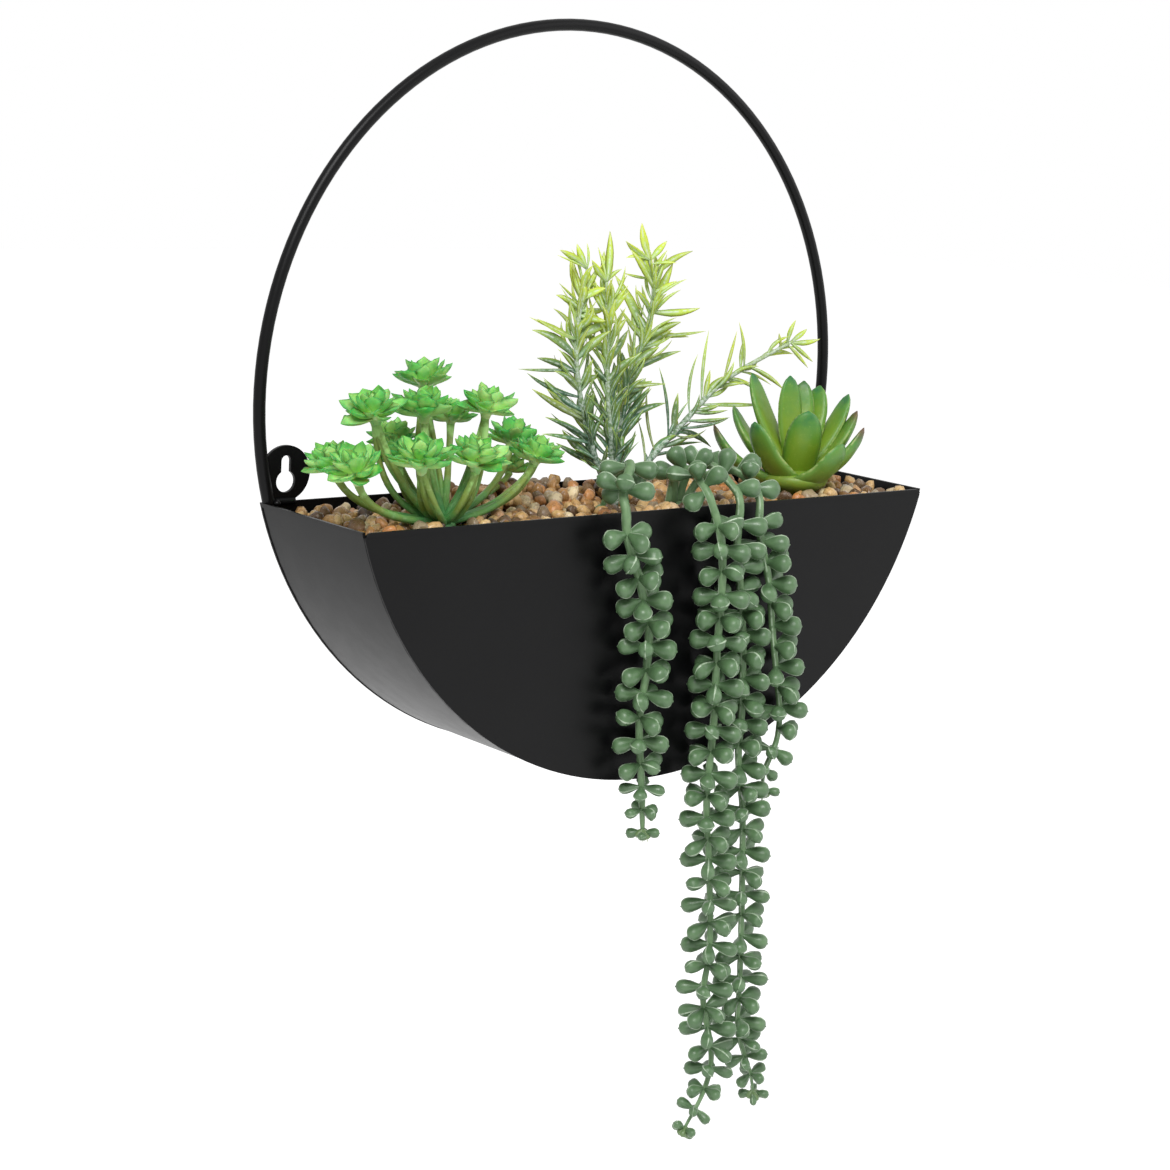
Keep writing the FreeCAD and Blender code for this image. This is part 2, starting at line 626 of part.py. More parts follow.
def strand_rods(wire):
    return rods_of(wire.discretize(Distance=4.0), stem_r)


def whorl_ways(wire):
    """For each leaf of a strand, in whorls along it: its size, the feet and directions that it may take."""
    whorls = along(wire, TRAIL_LEAF_PITCH)
    for i, (point, direction) in enumerate(whorls):
        to_end = (len(whorls) - 1 - i) * TRAIL_LEAF_PITCH
        size = min(1.0, TRAIL_SMALLEST + (1.0 - TRAIL_SMALLEST) * to_end / TRAIL_TAPER)
        for k in range(TRAIL_LEAVES_PER_NODE):
            ways = []
            for nudge in WHORL_NUDGES:
                out = around(direction, 45.0 * i + 360.0 * k / TRAIL_LEAVES_PER_NODE + nudge)
                droop = math.radians(8.0 + 10.0 * math.sin(2.4 * i + 1.9 * k))
                ways.append((point + out * 0.5, out * math.cos(droop) + direction * math.sin(droop)))
            yield size, ways


def root_ways(wire, leaves):
    """For each leaf of a root: its size, the feet and directions that it may take."""
    points = wire.discretize(101)
    for share, azimuth, elevation in leaves:
        aims = [polar(azimuth + nudge, elevation) for nudge in ROOT_NUDGES]
        yield 1.0, [(points[round(100 * share)] + aim * 0.5, aim) for aim in aims]


def hang_leaves(owner, allowed, choices):
    """Pearl leaves, each in the first of its ways that is free, left out where none is."""
    template = pearl_leaf()
    leaves = []
    for size, ways in choices:
        for foot, aim in ways:
            rods = leaf_rods(foot, aim, size)
            near = [rod for name, rod in taken if name == owner]
            if allowed(rods) and clear_of(rods, owner) and all(
                    gap_between(rods[0], rod) >= 0.1 for rod in near):
                leaf = template.scaled(size) if size < 1.0 else template.copy()
                leaf.Placement = FreeCAD.Placement(foot, FreeCAD.Rotation(V(0, 0, 1), aim))
                leaves.append(leaf)
                taken.extend((owner, rod) for rod in rods)
                break
    return Part.makeCompound(leaves)


def in_front(rods):
    return all(max(a.y, b.y) + r <= out_limit for a, b, r in rods)


def off_the_trough(rods):
    return in_front(rods) or all(min(a.z, b.z) - r >= rim_z + 1.5 for a, b, r in rods)


def root_wire(x, route, fold):
    """Root end of a strand, from its stake over the rim to just short of the fold line."""
    points = [V(x + dx, -out, rim_z + h) for dx, out, h in route]
    back = (points[-1] - fold).normalize()
    return rounded_route([*points, fold + back * (TRAIL_KNUCKLE_DIAMETER / 2 + PART_GAP)], TRAIL_BEND)


def owner_of(n, piece):
    return "%s/%s %d" % ("left" if n == 0 else "right", piece, n)


def build_trailing_plants():
    left, right = stand(LEFT_TRAIL_PLACE), stand(RIGHT_TRAIL_PLACE)
    roots, trails, knuckles = [], [], []
    half = V(TRAIL_KNUCKLE_LENGTH / 2, 0, 0)
    for n, (root, trail) in enumerate(zip(ROOT_ROUTES, TRAIL_ROUTES)):
        x = left[0] if n == 0 else right[0]
        points = [V(x + dx, front_y - out, rim_z + h) for dx, out, h in trail]
        roots.append(root_wire(x, root, points[0]))
        trails.append(rounded_route(points, TRAIL_BEND))
        knuckles.append(points[0] - half)
        taken.extend((owner_of(n, "root"), rod) for rod in strand_rods(roots[n]))
        taken.extend((owner_of(n, "trail"), rod) for rod in strand_rods(trails[n]))
        knuckle = (points[0] - half, points[0] + half, TRAIL_KNUCKLE_DIAMETER / 2)
        taken.append((owner_of(n, "trail"), knuckle))
    for name, place, members in (("left", left, (0,)), ("right", right, (1, 2, 3))):
        holder = stake(*place, TRAIL_CROWN_DIAMETER, TRAIL_CROWN_HEIGHT)
        nodes["trail_roots_" + name] = joined([holder, *(swept(roots[n], stem_r) for n in members)])
        for n in members:
            ways = root_ways(roots[n], ROOT_LEAVES[n])
            nodes["root_leaves_%d" % (n + 1)] = hang_leaves(owner_of(n, "root"), off_the_trough, ways)
    root_rods = [rod for name, rod in taken if "/root" in name]
    for n, trail in enumerate(trails):

        def free_to_swing(rods):
            if not in_front(rods):
                return False
            if n == 0 and max(a.x + r for a, b, r in rods) > strand_limit:
                return False
            if n > 0 and min(a.x - r for a, b, r in rods) < strand_limit + STRAND_SPACE:
                return False
            if min(a.z for a, b, r in rods) < fold_z - 45.0:
                return True
            turned = [(swung(a, t), swung(b, t), r) for a, b, r in rods for t in SWING_STEPS]
            return all(gap_between(rod, other) >= PART_GAP for rod in turned for other in root_rods)

        radius = TRAIL_KNUCKLE_DIAMETER / 2
        knuckle = Part.makeCylinder(radius, TRAIL_KNUCKLE_LENGTH, knuckles[n], V(1, 0, 0))
        nodes["strand_stem_%d" % (n + 1)] = joined([knuckle, swept(trail, stem_r)])
        nodes["strand_leaves_%d" % (n + 1)] = hang_leaves(owner_of(n, "trail"), free_to_swing, whorl_ways(trail))


# Insert

def stone(x, y, rng):
    """Faceted pebble with a flat base on the packed gravel."""
    radius = STONE_RADIUS * rng.uniform(0.75, 1.0)
    height = STONE_HEIGHT * rng.uniform(0.6, 1.0)
    rings = []
    for share, level in ((0.75, 0.0), (1.0, 0.4), (0.55, 1.0)):
        turn = rng.uniform(-15.0, 15.0)
        rings.append([V(x, y, gravel_top + level * height) + polar(turn + 72.0 * i, 0) * (radius * share)
                      for i in range(5)])
    return polyhedron(rings)


def build_insert():
    foam = segment(insert_r, insert_front, insert_back, ring_z - 2 * ring_r, foam_top)
    gravel = segment(insert_r, insert_front, insert_back, foam_top, gravel_top)
    depth = STAKE_DEPTH + 1.0
    for x, y in stake_places:
        foot = V(x, y, gravel_top - depth)
        foam = foam.cut(Part.makeCylinder(STAKE_DIAMETER / 2 + STAKE_FIT, depth, foot))
        gravel = gravel.cut(Part.makeCylinder(STAKE_DIAMETER / 2 + PART_GAP, depth, foot))
    nodes["foam_block"] = foam
    nodes["gravel_bed"] = gravel
    rng = random.Random(5)
    stones = []
    half = math.sqrt(insert_r ** 2 - (ring_z - gravel_top) ** 2) - STONE_PITCH / 2 - 1
    across = int(2 * half / STONE_PITCH)
    deep = int((insert_back - insert_front - STONE_PITCH / 2) / STONE_PITCH)
    for i in range(across + 1):
        for j in range(deep + 1):
            x = -half + 2 * half * i / across
            y = insert_front + STONE_PITCH / 2 + (insert_back - insert_front - STONE_PITCH) * j / deep
            x += rng.uniform(-1.0, 1.0)
            y += rng.uniform(-1.0, 1.0)
            rod = (V(x, y, gravel_top), V(x, y, gravel_top + STONE_HEIGHT), STONE_RADIUS)
            touching = any(gap_between(rod, other) < PART_GAP for name, other in taken)
            room = STONE_RADIUS + STONE_CROWN_GAP
            crowded = any(math.hypot(x - a, y - b) < room for a, b in stake_places)
            piece = stone(x, y, rng)
            if not crowded and not touching:
                stones.append(piece)
    nodes["loose_stones"] = Part.makeCompound(stones)


build_metalwork()
build_rosette_plant()
build_agave()
build_trailing_plants()
build_sprig_plant()
build_insert()

os.makedirs("parts", exist_ok=True)
for name, shape in nodes.items():
    shape.exportStep("parts/%s.step" % name)
    print(name, len(shape.Solids), shape.isValid(), round(shape.Volume, 2))
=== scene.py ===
import bmesh
import bpy
import math
import random
import numpy as np
from mathutils import Matrix, Vector


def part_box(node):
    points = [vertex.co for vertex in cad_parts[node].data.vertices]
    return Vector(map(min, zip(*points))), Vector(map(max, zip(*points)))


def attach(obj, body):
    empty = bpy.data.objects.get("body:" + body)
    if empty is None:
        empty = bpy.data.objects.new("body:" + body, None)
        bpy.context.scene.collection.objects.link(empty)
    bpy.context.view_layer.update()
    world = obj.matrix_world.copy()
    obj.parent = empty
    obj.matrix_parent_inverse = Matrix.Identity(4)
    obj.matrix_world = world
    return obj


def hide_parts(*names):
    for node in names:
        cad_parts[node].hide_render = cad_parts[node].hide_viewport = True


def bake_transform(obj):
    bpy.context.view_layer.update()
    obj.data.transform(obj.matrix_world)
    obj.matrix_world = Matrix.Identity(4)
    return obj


# Looks of a half-round wall planter with moulded plants.
# Shapes are worked out in millimetres in the part's own frame and turned into metres as meshes are made.

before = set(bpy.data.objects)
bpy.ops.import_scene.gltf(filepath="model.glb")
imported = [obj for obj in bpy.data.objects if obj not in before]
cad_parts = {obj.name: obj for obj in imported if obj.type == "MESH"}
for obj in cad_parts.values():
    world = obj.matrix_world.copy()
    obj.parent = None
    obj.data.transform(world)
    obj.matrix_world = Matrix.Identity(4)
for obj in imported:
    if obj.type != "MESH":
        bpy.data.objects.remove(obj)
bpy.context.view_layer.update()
scene = bpy.context.scene
MM = 0.001
LOW, HIGH = 0, 1
X, Y, Z = 0, 1, 2


def side_of(node, end, axis):
    """One side of a node's box, in millimetres to a tenth."""
    return round(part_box(node)[end][axis] / MM, 1)


# Main sizes, and the x and y where each plant stands

SHEET = 0.8
RADIUS = side_of("hoop", HIGH, X)  # outside of the circle that trough and hoop make together
CENTRE = side_of("hoop", HIGH, Z) - RADIUS
RIM = side_of("front_panel", HIGH, Z)
FRONT = side_of("curved_wall", LOW, Y) - SHEET
GRAVEL_TOP = side_of("gravel_bed", HIGH, Z)
ROSETTE_BASE = (-0.632 * RADIUS, -54.0)
SPRIG_BASE = (0.039 * RADIUS, -34.0)
AGAVE_BASE = (0.644 * RADIUS, -44.0)
LEFT_BASE = (-0.077 * RADIUS, -48.0)
RIGHT_BASE = (0.168 * RADIUS, -51.0)

# Camera

EYE = np.array((-704.1, -886.3, 167.9))
YAW, PITCH, ROLL = math.radians(39.23), math.radians(-11.03), math.radians(3.10)
FRAME_PIXELS = 1170
FOCAL_PIXELS = 2647.2
SENSOR_WIDTH = 36.0

FORWARD = np.array((math.sin(YAW) * math.cos(PITCH), math.cos(YAW) * math.cos(PITCH), math.sin(PITCH)))
level_right = np.array((math.cos(YAW), -math.sin(YAW), 0.0))
level_up = np.cross(level_right, FORWARD)
RIGHT = level_right * math.cos(ROLL) + level_up * math.sin(ROLL)
UP = level_up * math.cos(ROLL) - level_right * math.sin(ROLL)


def seen(u, v, y):
    """The point with this y that the camera sees at pixel (u, v) of the 1170 pixel frame."""
    ray = FORWARD * FOCAL_PIXELS + RIGHT * (u - FRAME_PIXELS / 2) - UP * (v - FRAME_PIXELS / 2)
    return EYE + ray * ((y - EYE[1]) / ray[1])


def pixel(point):
    """The pixel of that frame at which the camera sees a point."""
    away = np.asarray(point) - EYE
    depth = away @ FORWARD
    return np.array((away @ RIGHT, -(away @ UP))) * FOCAL_PIXELS / depth + FRAME_PIXELS / 2


def add_camera():
    data = bpy.data.cameras.new("camera")
    data.sensor_width = SENSOR_WIDTH
    data.lens = SENSOR_WIDTH * FOCAL_PIXELS / FRAME_PIXELS
    data.clip_end = 50.0
    camera = bpy.data.objects.new("camera", data)
    axes = Matrix((RIGHT, UP, -FORWARD)).transposed().to_4x4()
    camera.matrix_world = Matrix.Translation(Vector(EYE * MM)) @ axes
    scene.collection.objects.link(camera)
    scene.camera = camera


# Materials

def shade(red, green, blue):
    """Screen colour, 0 to 255, as the linear colour a shader takes."""
    linear = [c / 12.92 if c <= 0.04045 else ((c + 0.055) / 1.055) ** 2.4
              for c in (red / 255, green / 255, blue / 255)]
    return (*linear, 1)


class Nodes:
    """The node tree of a material or a world, with short ways to add to it."""

    def __init__(self, owner):
        owner.use_nodes = True
        self.tree = owner.node_tree

    def node(self, kind, inputs=None, **settings):
        node = self.tree.nodes.new("ShaderNode" + kind)
        for key, value in settings.items():
            setattr(node, key, value)
        for key, value in (inputs or {}).items():
            if isinstance(value, bpy.types.NodeSocket):
                self.tree.links.new(value, node.inputs[key])
            else:
                node.inputs[key].default_value = value
        return node

    def math(self, operation, a, b, clamp=False):
        return self.node("Math", {0: a, 1: b}, operation=operation, use_clamp=clamp).outputs[0]


class Look(Nodes):
    """A principled material whose colour, roughness and bump come from nodes. Colours are screen colours."""

    MIX_SHARE, MIX_FIRST, MIX_SECOND, MIX_RESULT = 0, 6, 7, 2  # the mix node's sockets for colours

    def __init__(self, name):
        self.material = bpy.data.materials.new(name)
        super().__init__(self.material)
        self.shader = self.tree.nodes["Principled BSDF"]
        self.coordinates = self.node("TexCoord").outputs["Object"]
        self.colour = None

    def set(self, **constants):
        for socket, value in constants.items():
            self.shader.inputs[socket.replace("_", " ")].default_value = value

    def noise(self, size_mm, detail=3, rough=0.55):
        inputs = {"Vector": self.coordinates, "Scale": 1 / (size_mm * MM), "Detail": detail,
                  "Roughness": rough}
        return self.node("TexNoise", inputs).outputs["Fac"]

    def cells(self, size_mm, output="Distance"):
        inputs = {"Vector": self.coordinates, "Scale": 1 / (size_mm * MM)}
        return self.node("TexVoronoi", inputs).outputs[output]

    def value(self, name):
        return self.node("Attribute", attribute_name=name).outputs["Fac"]

    def product(self, a, b):
        return self.math("MULTIPLY", a, b)

    def span(self, source, low, high, to_low=0, to_high=1):
        inputs = {"Value": source, "From Min": low, "From Max": high, "To Min": to_low, "To Max": to_high}
        return self.node("MapRange", inputs, interpolation_type="SMOOTHSTEP").outputs["Result"]

    def rough(self, noise, low, high):
        return self.span(noise, 0.3, 0.7, low, high)

    def wander(self, source, size_mm, amount, detail=3, clamp=False):
        """The source shifted either way by up to the amount, in patches of this size."""
        shift = self.span(self.noise(size_mm, detail), 0.2, 0.8, -amount, amount)
        return self.math("ADD", source, shift, clamp)

    def ramp(self, source, *stops):
        node = self.node("ValToRGB", {"Fac": source})
        elements = node.color_ramp.elements
        while len(elements) < len(stops):
            elements.new(1)
        for element, (place, *colour) in zip(elements, stops):
            element.position = place
            element.color = shade(*colour)
        return node.outputs["Color"]

    def mix(self, share, *colours):
        first, second = [shade(*c) if isinstance(c, tuple) else c for c in colours]
        inputs = {self.MIX_SHARE: share, self.MIX_FIRST: first, self.MIX_SECOND: second}
        return self.node("Mix", inputs, data_type="RGBA").outputs[self.MIX_RESULT]

    def paint(self, source, *stops):
        self.colour = self.ramp(source, *stops)

    def lay(self, colour, share, amount):
        """Lay another colour over what was painted so far."""
        self.colour = self.mix(self.product(share, amount), self.colour, colour)

    def over(self, colour, source, low, high, amount):
        """Lay a colour by up to the amount, as the source goes from low to high."""
        self.colour = self.mix(self.span(source, low, high, 0, amount), self.colour, colour)

    def finish(self, specular, roughness, *bumps):
        """Join all to the shader. A bump is its height, depth in millimetres and strength."""
        self.set(Specular_IOR_Level=specular)
        under = {}
        for height, depth_mm, strength in bumps:
            inputs = {"Height": height, "Distance": depth_mm * MM, "Strength": strength, **under}
            under = {"Normal": self.node("Bump", inputs).outputs["Normal"]}
        for socket, source in {"Base Color": self.colour, "Roughness": roughness, **under}.items():
            self.tree.links.new(source, self.shader.inputs[socket])


def powder_coat(look):
    grain = look.noise(0.55, 2)
    look.paint(look.noise(38, 4), (0.3, 7, 7, 8), (0.7, 10, 10, 11))
    look.over((30, 30, 31), grain, 0.62, 0.78, 0.35)
    waves = look.noise(2.4, 2)
    look.finish(0.14, look.rough(look.noise(9), 0.33, 0.36), (grain, 0.05, 0.35), (waves, 0.04, 0.2))


# Weld seam colour, darker and duller than the coat: partly the seam itself, partly painted shade of the gap
# beside it.
def seam_and_gap_shade(look):
    cloud = look.noise(4)
    look.paint(cloud, (0.3, 4, 4, 4), (0.7, 9, 9, 9))
    look.finish(0.08, look.rough(cloud, 0.6, 0.8), (look.noise(0.8, 2), 0.08, 0.4))


def floral_foam(look):
    pores = look.cells(1.1)
    look.paint(look.noise(7), (0.3, 58, 84, 52), (0.7, 76, 106, 66))
    # Darker in the pits of the pores: painted shade.
    look.over((40, 60, 38), pores, 0.5, 0.1, 1)
    look.finish(0.2, look.span(pores, 0, 0.6, 0.95, 0.8), (pores, 0.5, 0.8))


def packed_gravel(look):
    grain_size = 4.6
    shape = look.cells(grain_size)
    pick = look.node("SeparateColor", {"Color": look.cells(grain_size, "Color")}).outputs[0]
    look.paint(pick, (0, 96, 78, 62), (0.35, 160, 128, 92), (0.65, 196, 164, 124), (1, 120, 100, 84))
    # Near-black lines where the stones meet: painted shade in the gaps between them.
    look.over((28, 23, 20), shape, 0.25, 0.6, 1)
    look.finish(0.3, look.rough(look.noise(1.2), 0.5, 0.75), (look.math("SUBTRACT", 1, shape), 2.2, 1))


def pebble(look):
    specks = look.noise(0.6)
    look.paint(look.value("tone"), (0, 56, 42, 30), (0.14, 100, 74, 46), (0.3, 164, 118, 66),
               (0.46, 203, 163, 105), (0.6, 221, 187, 132), (0.72, 190, 120, 60), (0.84, 236, 215, 173),
               (0.93, 112, 91, 67), (1, 172, 156, 128))
    look.over((104, 70, 42), look.noise(1.7, 6, 0.65), 0.46, 0.66, 0.5)
    look.over((232, 214, 186), specks, 0.6, 0.72, 0.5)
    pits = look.noise(2.2, 5)
    look.finish(0.5, look.rough(look.noise(2.6), 0.26, 0.5), (specks, 0.12, 0.5), (pits, 0.35, 0.5))


def rosette_leaf(look):
    look.set(Subsurface_Weight=0.3, Subsurface_Scale=0.004)
    along, across = look.value("along"), look.value("across")
    look.paint(look.wander(along, 3, 0.14), (0, 200, 218, 150), (0.3, 180, 220, 132),
               (0.62, 146, 214, 112), (0.85, 92, 196, 86), (1, 40, 158, 62))
    look.over((214, 238, 166), look.value("tone"), 0, 1, 0.42)
    look.lay((184, 226, 104), look.value("young"), 0.24)
    look.over((50, 174, 82), look.noise(11, 2), 0.46, 0.66, 0.55)
    edge = look.product(look.span(across, 0.66, 0.98), look.span(along, 0.2, 0.62))
    look.lay((24, 138, 56), edge, 0.92)
    look.finish(0.35, look.rough(look.noise(1.6), 0.4, 0.56), (look.noise(0.9), 0.12, 0.4))


def rosette_stem(look):
    film = look.noise(2.4, 4)
    look.paint(look.wander(look.value("along"), 7, 0.22), (0, 88, 154, 92), (0.35, 110, 160, 84),
               (0.65, 120, 138, 58), (0.9, 116, 144, 68), (1, 158, 202, 118))
    look.over((176, 198, 152), film, 0.5, 0.72, 0.26)
    look.finish(0.35, look.rough(film, 0.42, 0.6), (look.noise(1.1), 0.15, 0.4))


def sprig_leaf(look):
    along, across, young, tone = [look.value(name) for name in ("along", "across", "young", "tone")]
    old = look.ramp(along, (0, 114, 150, 128), (0.45, 80, 120, 92), (0.8, 102, 146, 80), (1, 170, 194, 76))
    fresh = look.ramp(along, (0, 178, 202, 136), (0.4, 184, 214, 98), (0.75, 206, 228, 80),
                      (1, 222, 232, 120))
    look.colour = look.mix(look.wander(young, 6, 0.2, clamp=True), old, fresh)
    look.lay((44, 84, 58), look.span(tone, 0.62, 1, 0, 0.6), look.span(young, 0, 1, 1, 0.3))
    look.over((206, 206, 76), tone, 0.26, 0, 0.36)
    rib = look.product(look.span(across, 0.42, 0), look.span(look.noise(1.5, 4), 0.35, 0.6))
    look.lay((208, 220, 210), rib, 0.8)
    edge = look.product(look.span(across, 0.6, 0.95), look.span(along, 0.1, 0.5))
    look.lay((204, 208, 44), edge, look.span(young, 0, 0.8, 0.3, 0.75))
    look.finish(0.3, look.rough(look.noise(1.3), 0.46, 0.66), (look.noise(0.7), 0.1, 0.4))


def sprig_stem(look):
    frost = look.noise(1.4, 5, 0.65)
    flow = look.wander(look.value("young"), 6, 0.2, clamp=True)
    look.colour = look.mix(flow, (70, 108, 78), (160, 182, 112))
    look.over((204, 215, 207), frost, 0.38, 0.64, 0.82)
    look.finish(0.3, look.rough(frost, 0.5, 0.8), (frost, 0.2, 0.5))


def agave_leaf(look):
    look.set(Subsurface_Weight=0.1, Subsurface_Scale=0.004)
    along, across = look.value("along"), look.value("across")
    streak = look.noise(1.3, 4)
    # Darker at the foot of each leaf: painted shade at the base of the rosette.
    look.paint(look.wander(along, 9, 0.12, 4), (0, 100, 124, 46), (0.22, 124, 150, 38),
               (0.6, 116, 150, 40), (0.88, 82, 136, 48), (1, 42, 110, 54))
    look.over((76, 136, 54), across, 0.6, 0.95, 0.45)
    look.lay((96, 134, 84), look.value("low"), 0.4)
    # Pale patchy line along the leaf margins: painted highlight.
    rim = look.product(look.span(across, 0.9, 1), look.span(look.noise(3), 0.4, 0.6))
    look.lay((186, 204, 132), rim, 0.6)
    tip = look.product(look.span(along, 0.8, 1), look.value("blush"))
    look.lay((98, 52, 46), tip, 0.85)
    look.over((168, 186, 92), streak, 0.55, 0.75, 0.22)
    look.finish(0.4, look.rough(look.noise(2.4, 4), 0.34, 0.5), (streak, 0.1, 0.3))


def pearl_leaf(look):
    look.paint(look.noise(5, 4), (0.3, 74, 103, 69), (0.55, 89, 120, 82), (0.75, 102, 133, 93))
    look.over((76, 106, 70), look.value("tone"), 0, 1, 0.35)
    seam = look.product(look.span(look.value("seam"), 0.06, 0.6), look.span(look.noise(2.6, 4), 0.3, 0.5))
    look.lay((186, 205, 178), seam, 0.8)
    look.over((186, 204, 120), look.value("young"), 0.3, 1, 0.6)
    look.finish(0.5, look.rough(look.noise(2.2, 4), 0.3, 0.46), (look.noise(0.8), 0.06, 0.35))


def pearl_stem(look):
    cloud = look.noise(4, 4)
    look.paint(cloud, (0.3, 92, 124, 84), (0.7, 120, 150, 108))
    seam = look.product(look.span(look.value("seam"), 0.2, 1), look.span(look.noise(4), 0.38, 0.56))
    look.lay((192, 212, 184), seam, 0.75)
    look.finish(0.4, look.rough(cloud, 0.34, 0.5), (look.noise(0.9), 0.1, 0.4))


def stake_plastic(look):
    cloud = look.noise(6)
    look.paint(cloud, (0.3, 62, 96, 58), (0.7, 82, 118, 70))
    look.finish(0.4, look.rough(cloud, 0.38, 0.52), (look.noise(1), 0.1, 0.4))


LOOKS = {}
for paint in (powder_coat, seam_and_gap_shade, floral_foam, packed_gravel, pebble, rosette_leaf, rosette_stem,
              sprig_leaf, sprig_stem, agave_leaf, pearl_leaf, pearl_stem, stake_plastic):
    look = Look(paint.__name__)
    paint(look)
    LOOKS[paint.__name__] = look.material

# Mesh building

VALUES = ("along", "across", "tone", "young", "low", "blush", "seam")
UPWARD = np.array((0.0, 0.0, 1.0))


class Build:
    """Points in millimetres, faces, and the named values at each point, which become one mesh."""

    def __init__(self):
        self.points = []
        self.faces = []
        self.values = {name: [] for name in VALUES}
        self.size = 0

    def add(self, points, faces, **values):
        points = np.asarray(points, float).reshape(-1, 3)
        self.points.append(points)
        self.faces.extend(tuple(i + self.size for i in face) for face in faces)
        for name in VALUES:
            value = np.asarray(values.get(name, 0.0), float)
            self.values[name].append(np.broadcast_to(value.ravel(), len(points)))
        self.size += len(points)

    def make(self, name, look, body=None, replaces=()):
        """One object of all that was added. Its slot has the look's name."""
        mesh = bpy.data.meshes.new(name)
        mesh.from_pydata((np.concatenate(self.points) * MM).tolist(), [], self.faces)
        for value in VALUES:
            layer = mesh.attributes.new(value, "FLOAT", "POINT")
            layer.data.foreach_set("value", np.concatenate(self.values[value]).astype(np.float32))
        shape = bmesh.new()
        shape.from_mesh(mesh)
        bmesh.ops.recalc_face_normals(shape, faces=shape.faces)
        shape.to_mesh(mesh)
        shape.free()
        mesh.polygons.foreach_set("use_smooth", [True] * len(mesh.polygons))
        mesh.materials.append(LOOKS[look])
        piece = bpy.data.objects.new(name, mesh)
        scene.collection.objects.link(piece)
        if body:
            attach(piece, body)
        if replaces:
            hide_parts(*replaces)
        return piece

    def dress(self, node, look, body=None):
        """The object that stands for a CAD node of this name."""
        return self.make("dressed_" + node, look, body, (node,))


def unit(vectors):
    vectors = np.asarray(vectors, float)
    return vectors / np.linalg.norm(vectors, axis=-1, keepdims=True)


def polar(azimuth, elevation):
    """Direction with this azimuth and elevation, in degrees."""
    a, e = math.radians(azimuth), math.radians(elevation)
    return np.array((math.cos(a) * math.cos(e), math.sin(a) * math.cos(e), math.sin(e)))


def ring_angles(sides):
    return 2 * np.pi * np.arange(sides) / sides


def ring_points(line, first, second, angles, reach):
    """Rows of points round a line, at these angles from the first cross direction to the second."""
    return (line[:, None] + first * (np.cos(angles) * reach)[..., None]
            + second * (np.sin(angles) * reach)[..., None])


def ring_faces(rows, sides):
    """Faces of a closed skin over rows of points, with a cap at each end."""
    faces = []
    for row in range(rows - 1):
        for i in range(sides):
            a, b = row * sides + i, row * sides + (i + 1) % sides
            faces.append((a, b, b + sides, a + sides))
    faces.append(tuple(range(sides)))
    faces.append(tuple((rows - 1) * sides + i for i in range(sides)))
    return faces


def smooth_path(points, step):
    """Smooth line through the points, sampled about every step."""
    points = np.asarray(points, float)
    padded = np.vstack((2 * points[0] - points[1], points, 2 * points[-1] - points[-2]))
    line = []
    for a, b, c, d in zip(padded, padded[1:], padded[2:], padded[3:]):
        count = max(2, int(np.linalg.norm(c - b) / step))
        for t in np.arange(count) / count:
            line.append(0.5 * (2 * b + (c - a) * t + (2 * a - 5 * b + 4 * c - d) * t ** 2
                               + (3 * b - a - 3 * c + d) * t ** 3))
    line.append(points[-1])
    return np.array(line)


def bent_spine(base, tip, bend, rows):
    """Arc from base to tip whose middle stands off by the bend vector."""
    t = np.linspace(0, 1, rows)[:, None]
    return base + (tip - base) * t + np.asarray(bend) * 4 * t * (1 - t)


def curve(start, corner, end, t):
    """Curve that leaves its start towards the corner and reaches its end from there."""
    t = t[:, None]
    return start * (1 - t) ** 2 + corner * 2 * t * (1 - t) + end * t ** 2


def steered_line(start, azimuth, elevations, length):
    """Line of this length whose equal steps point at the elevations in turn."""
    steps = np.array([polar(azimuth, elevation) for elevation in elevations]) * length / len(elevations)
    return np.vstack((start, start + np.cumsum(steps, axis=0)))


def lengths_along(line):
    runs = np.linalg.norm(np.diff(line, axis=0), axis=1)
    return np.concatenate(((0.0,), np.cumsum(runs)))


def profile(t, *stops):
    """Values at t on straight runs between stops of place and value."""
    places, values = zip(*stops)
    return np.interp(t, places, values)


def carried_frames(line):
    """Tangent and two cross directions at each point, without twist along the line."""
    tangents = unit(np.gradient(line, axis=0))
    askew = (0.3, 1.0, 0.2)  # no line starts in this direction
    start = np.cross(tangents[0], askew)
    firsts = []
    for tangent in tangents:
        start = unit(start - tangent * (start @ tangent))
        firsts.append(start)
    firsts = np.array(firsts)
    return tangents, firsts, np.cross(tangents, firsts)


def add_tube(build, line, radii, sides, ridge=0.0, **values):
    """Round stem along a line, with two fine mould seams when ridge is set."""
    first, second = carried_frames(line)[1:]
    lift = np.where(np.arange(sides) % (sides // 2) == 0, ridge, 0.0)
    reach = np.asarray(radii)[:, None] + lift
    points = ring_points(line, first[:, None], second[:, None], ring_angles(sides), reach)
    spread = {name: np.repeat(value, sides) if np.ndim(value) else value for name, value in values.items()}
    seam = np.tile(lift > 0, len(line)).astype(float)
    build.add(points, ring_faces(len(line), sides), seam=seam, **spread)


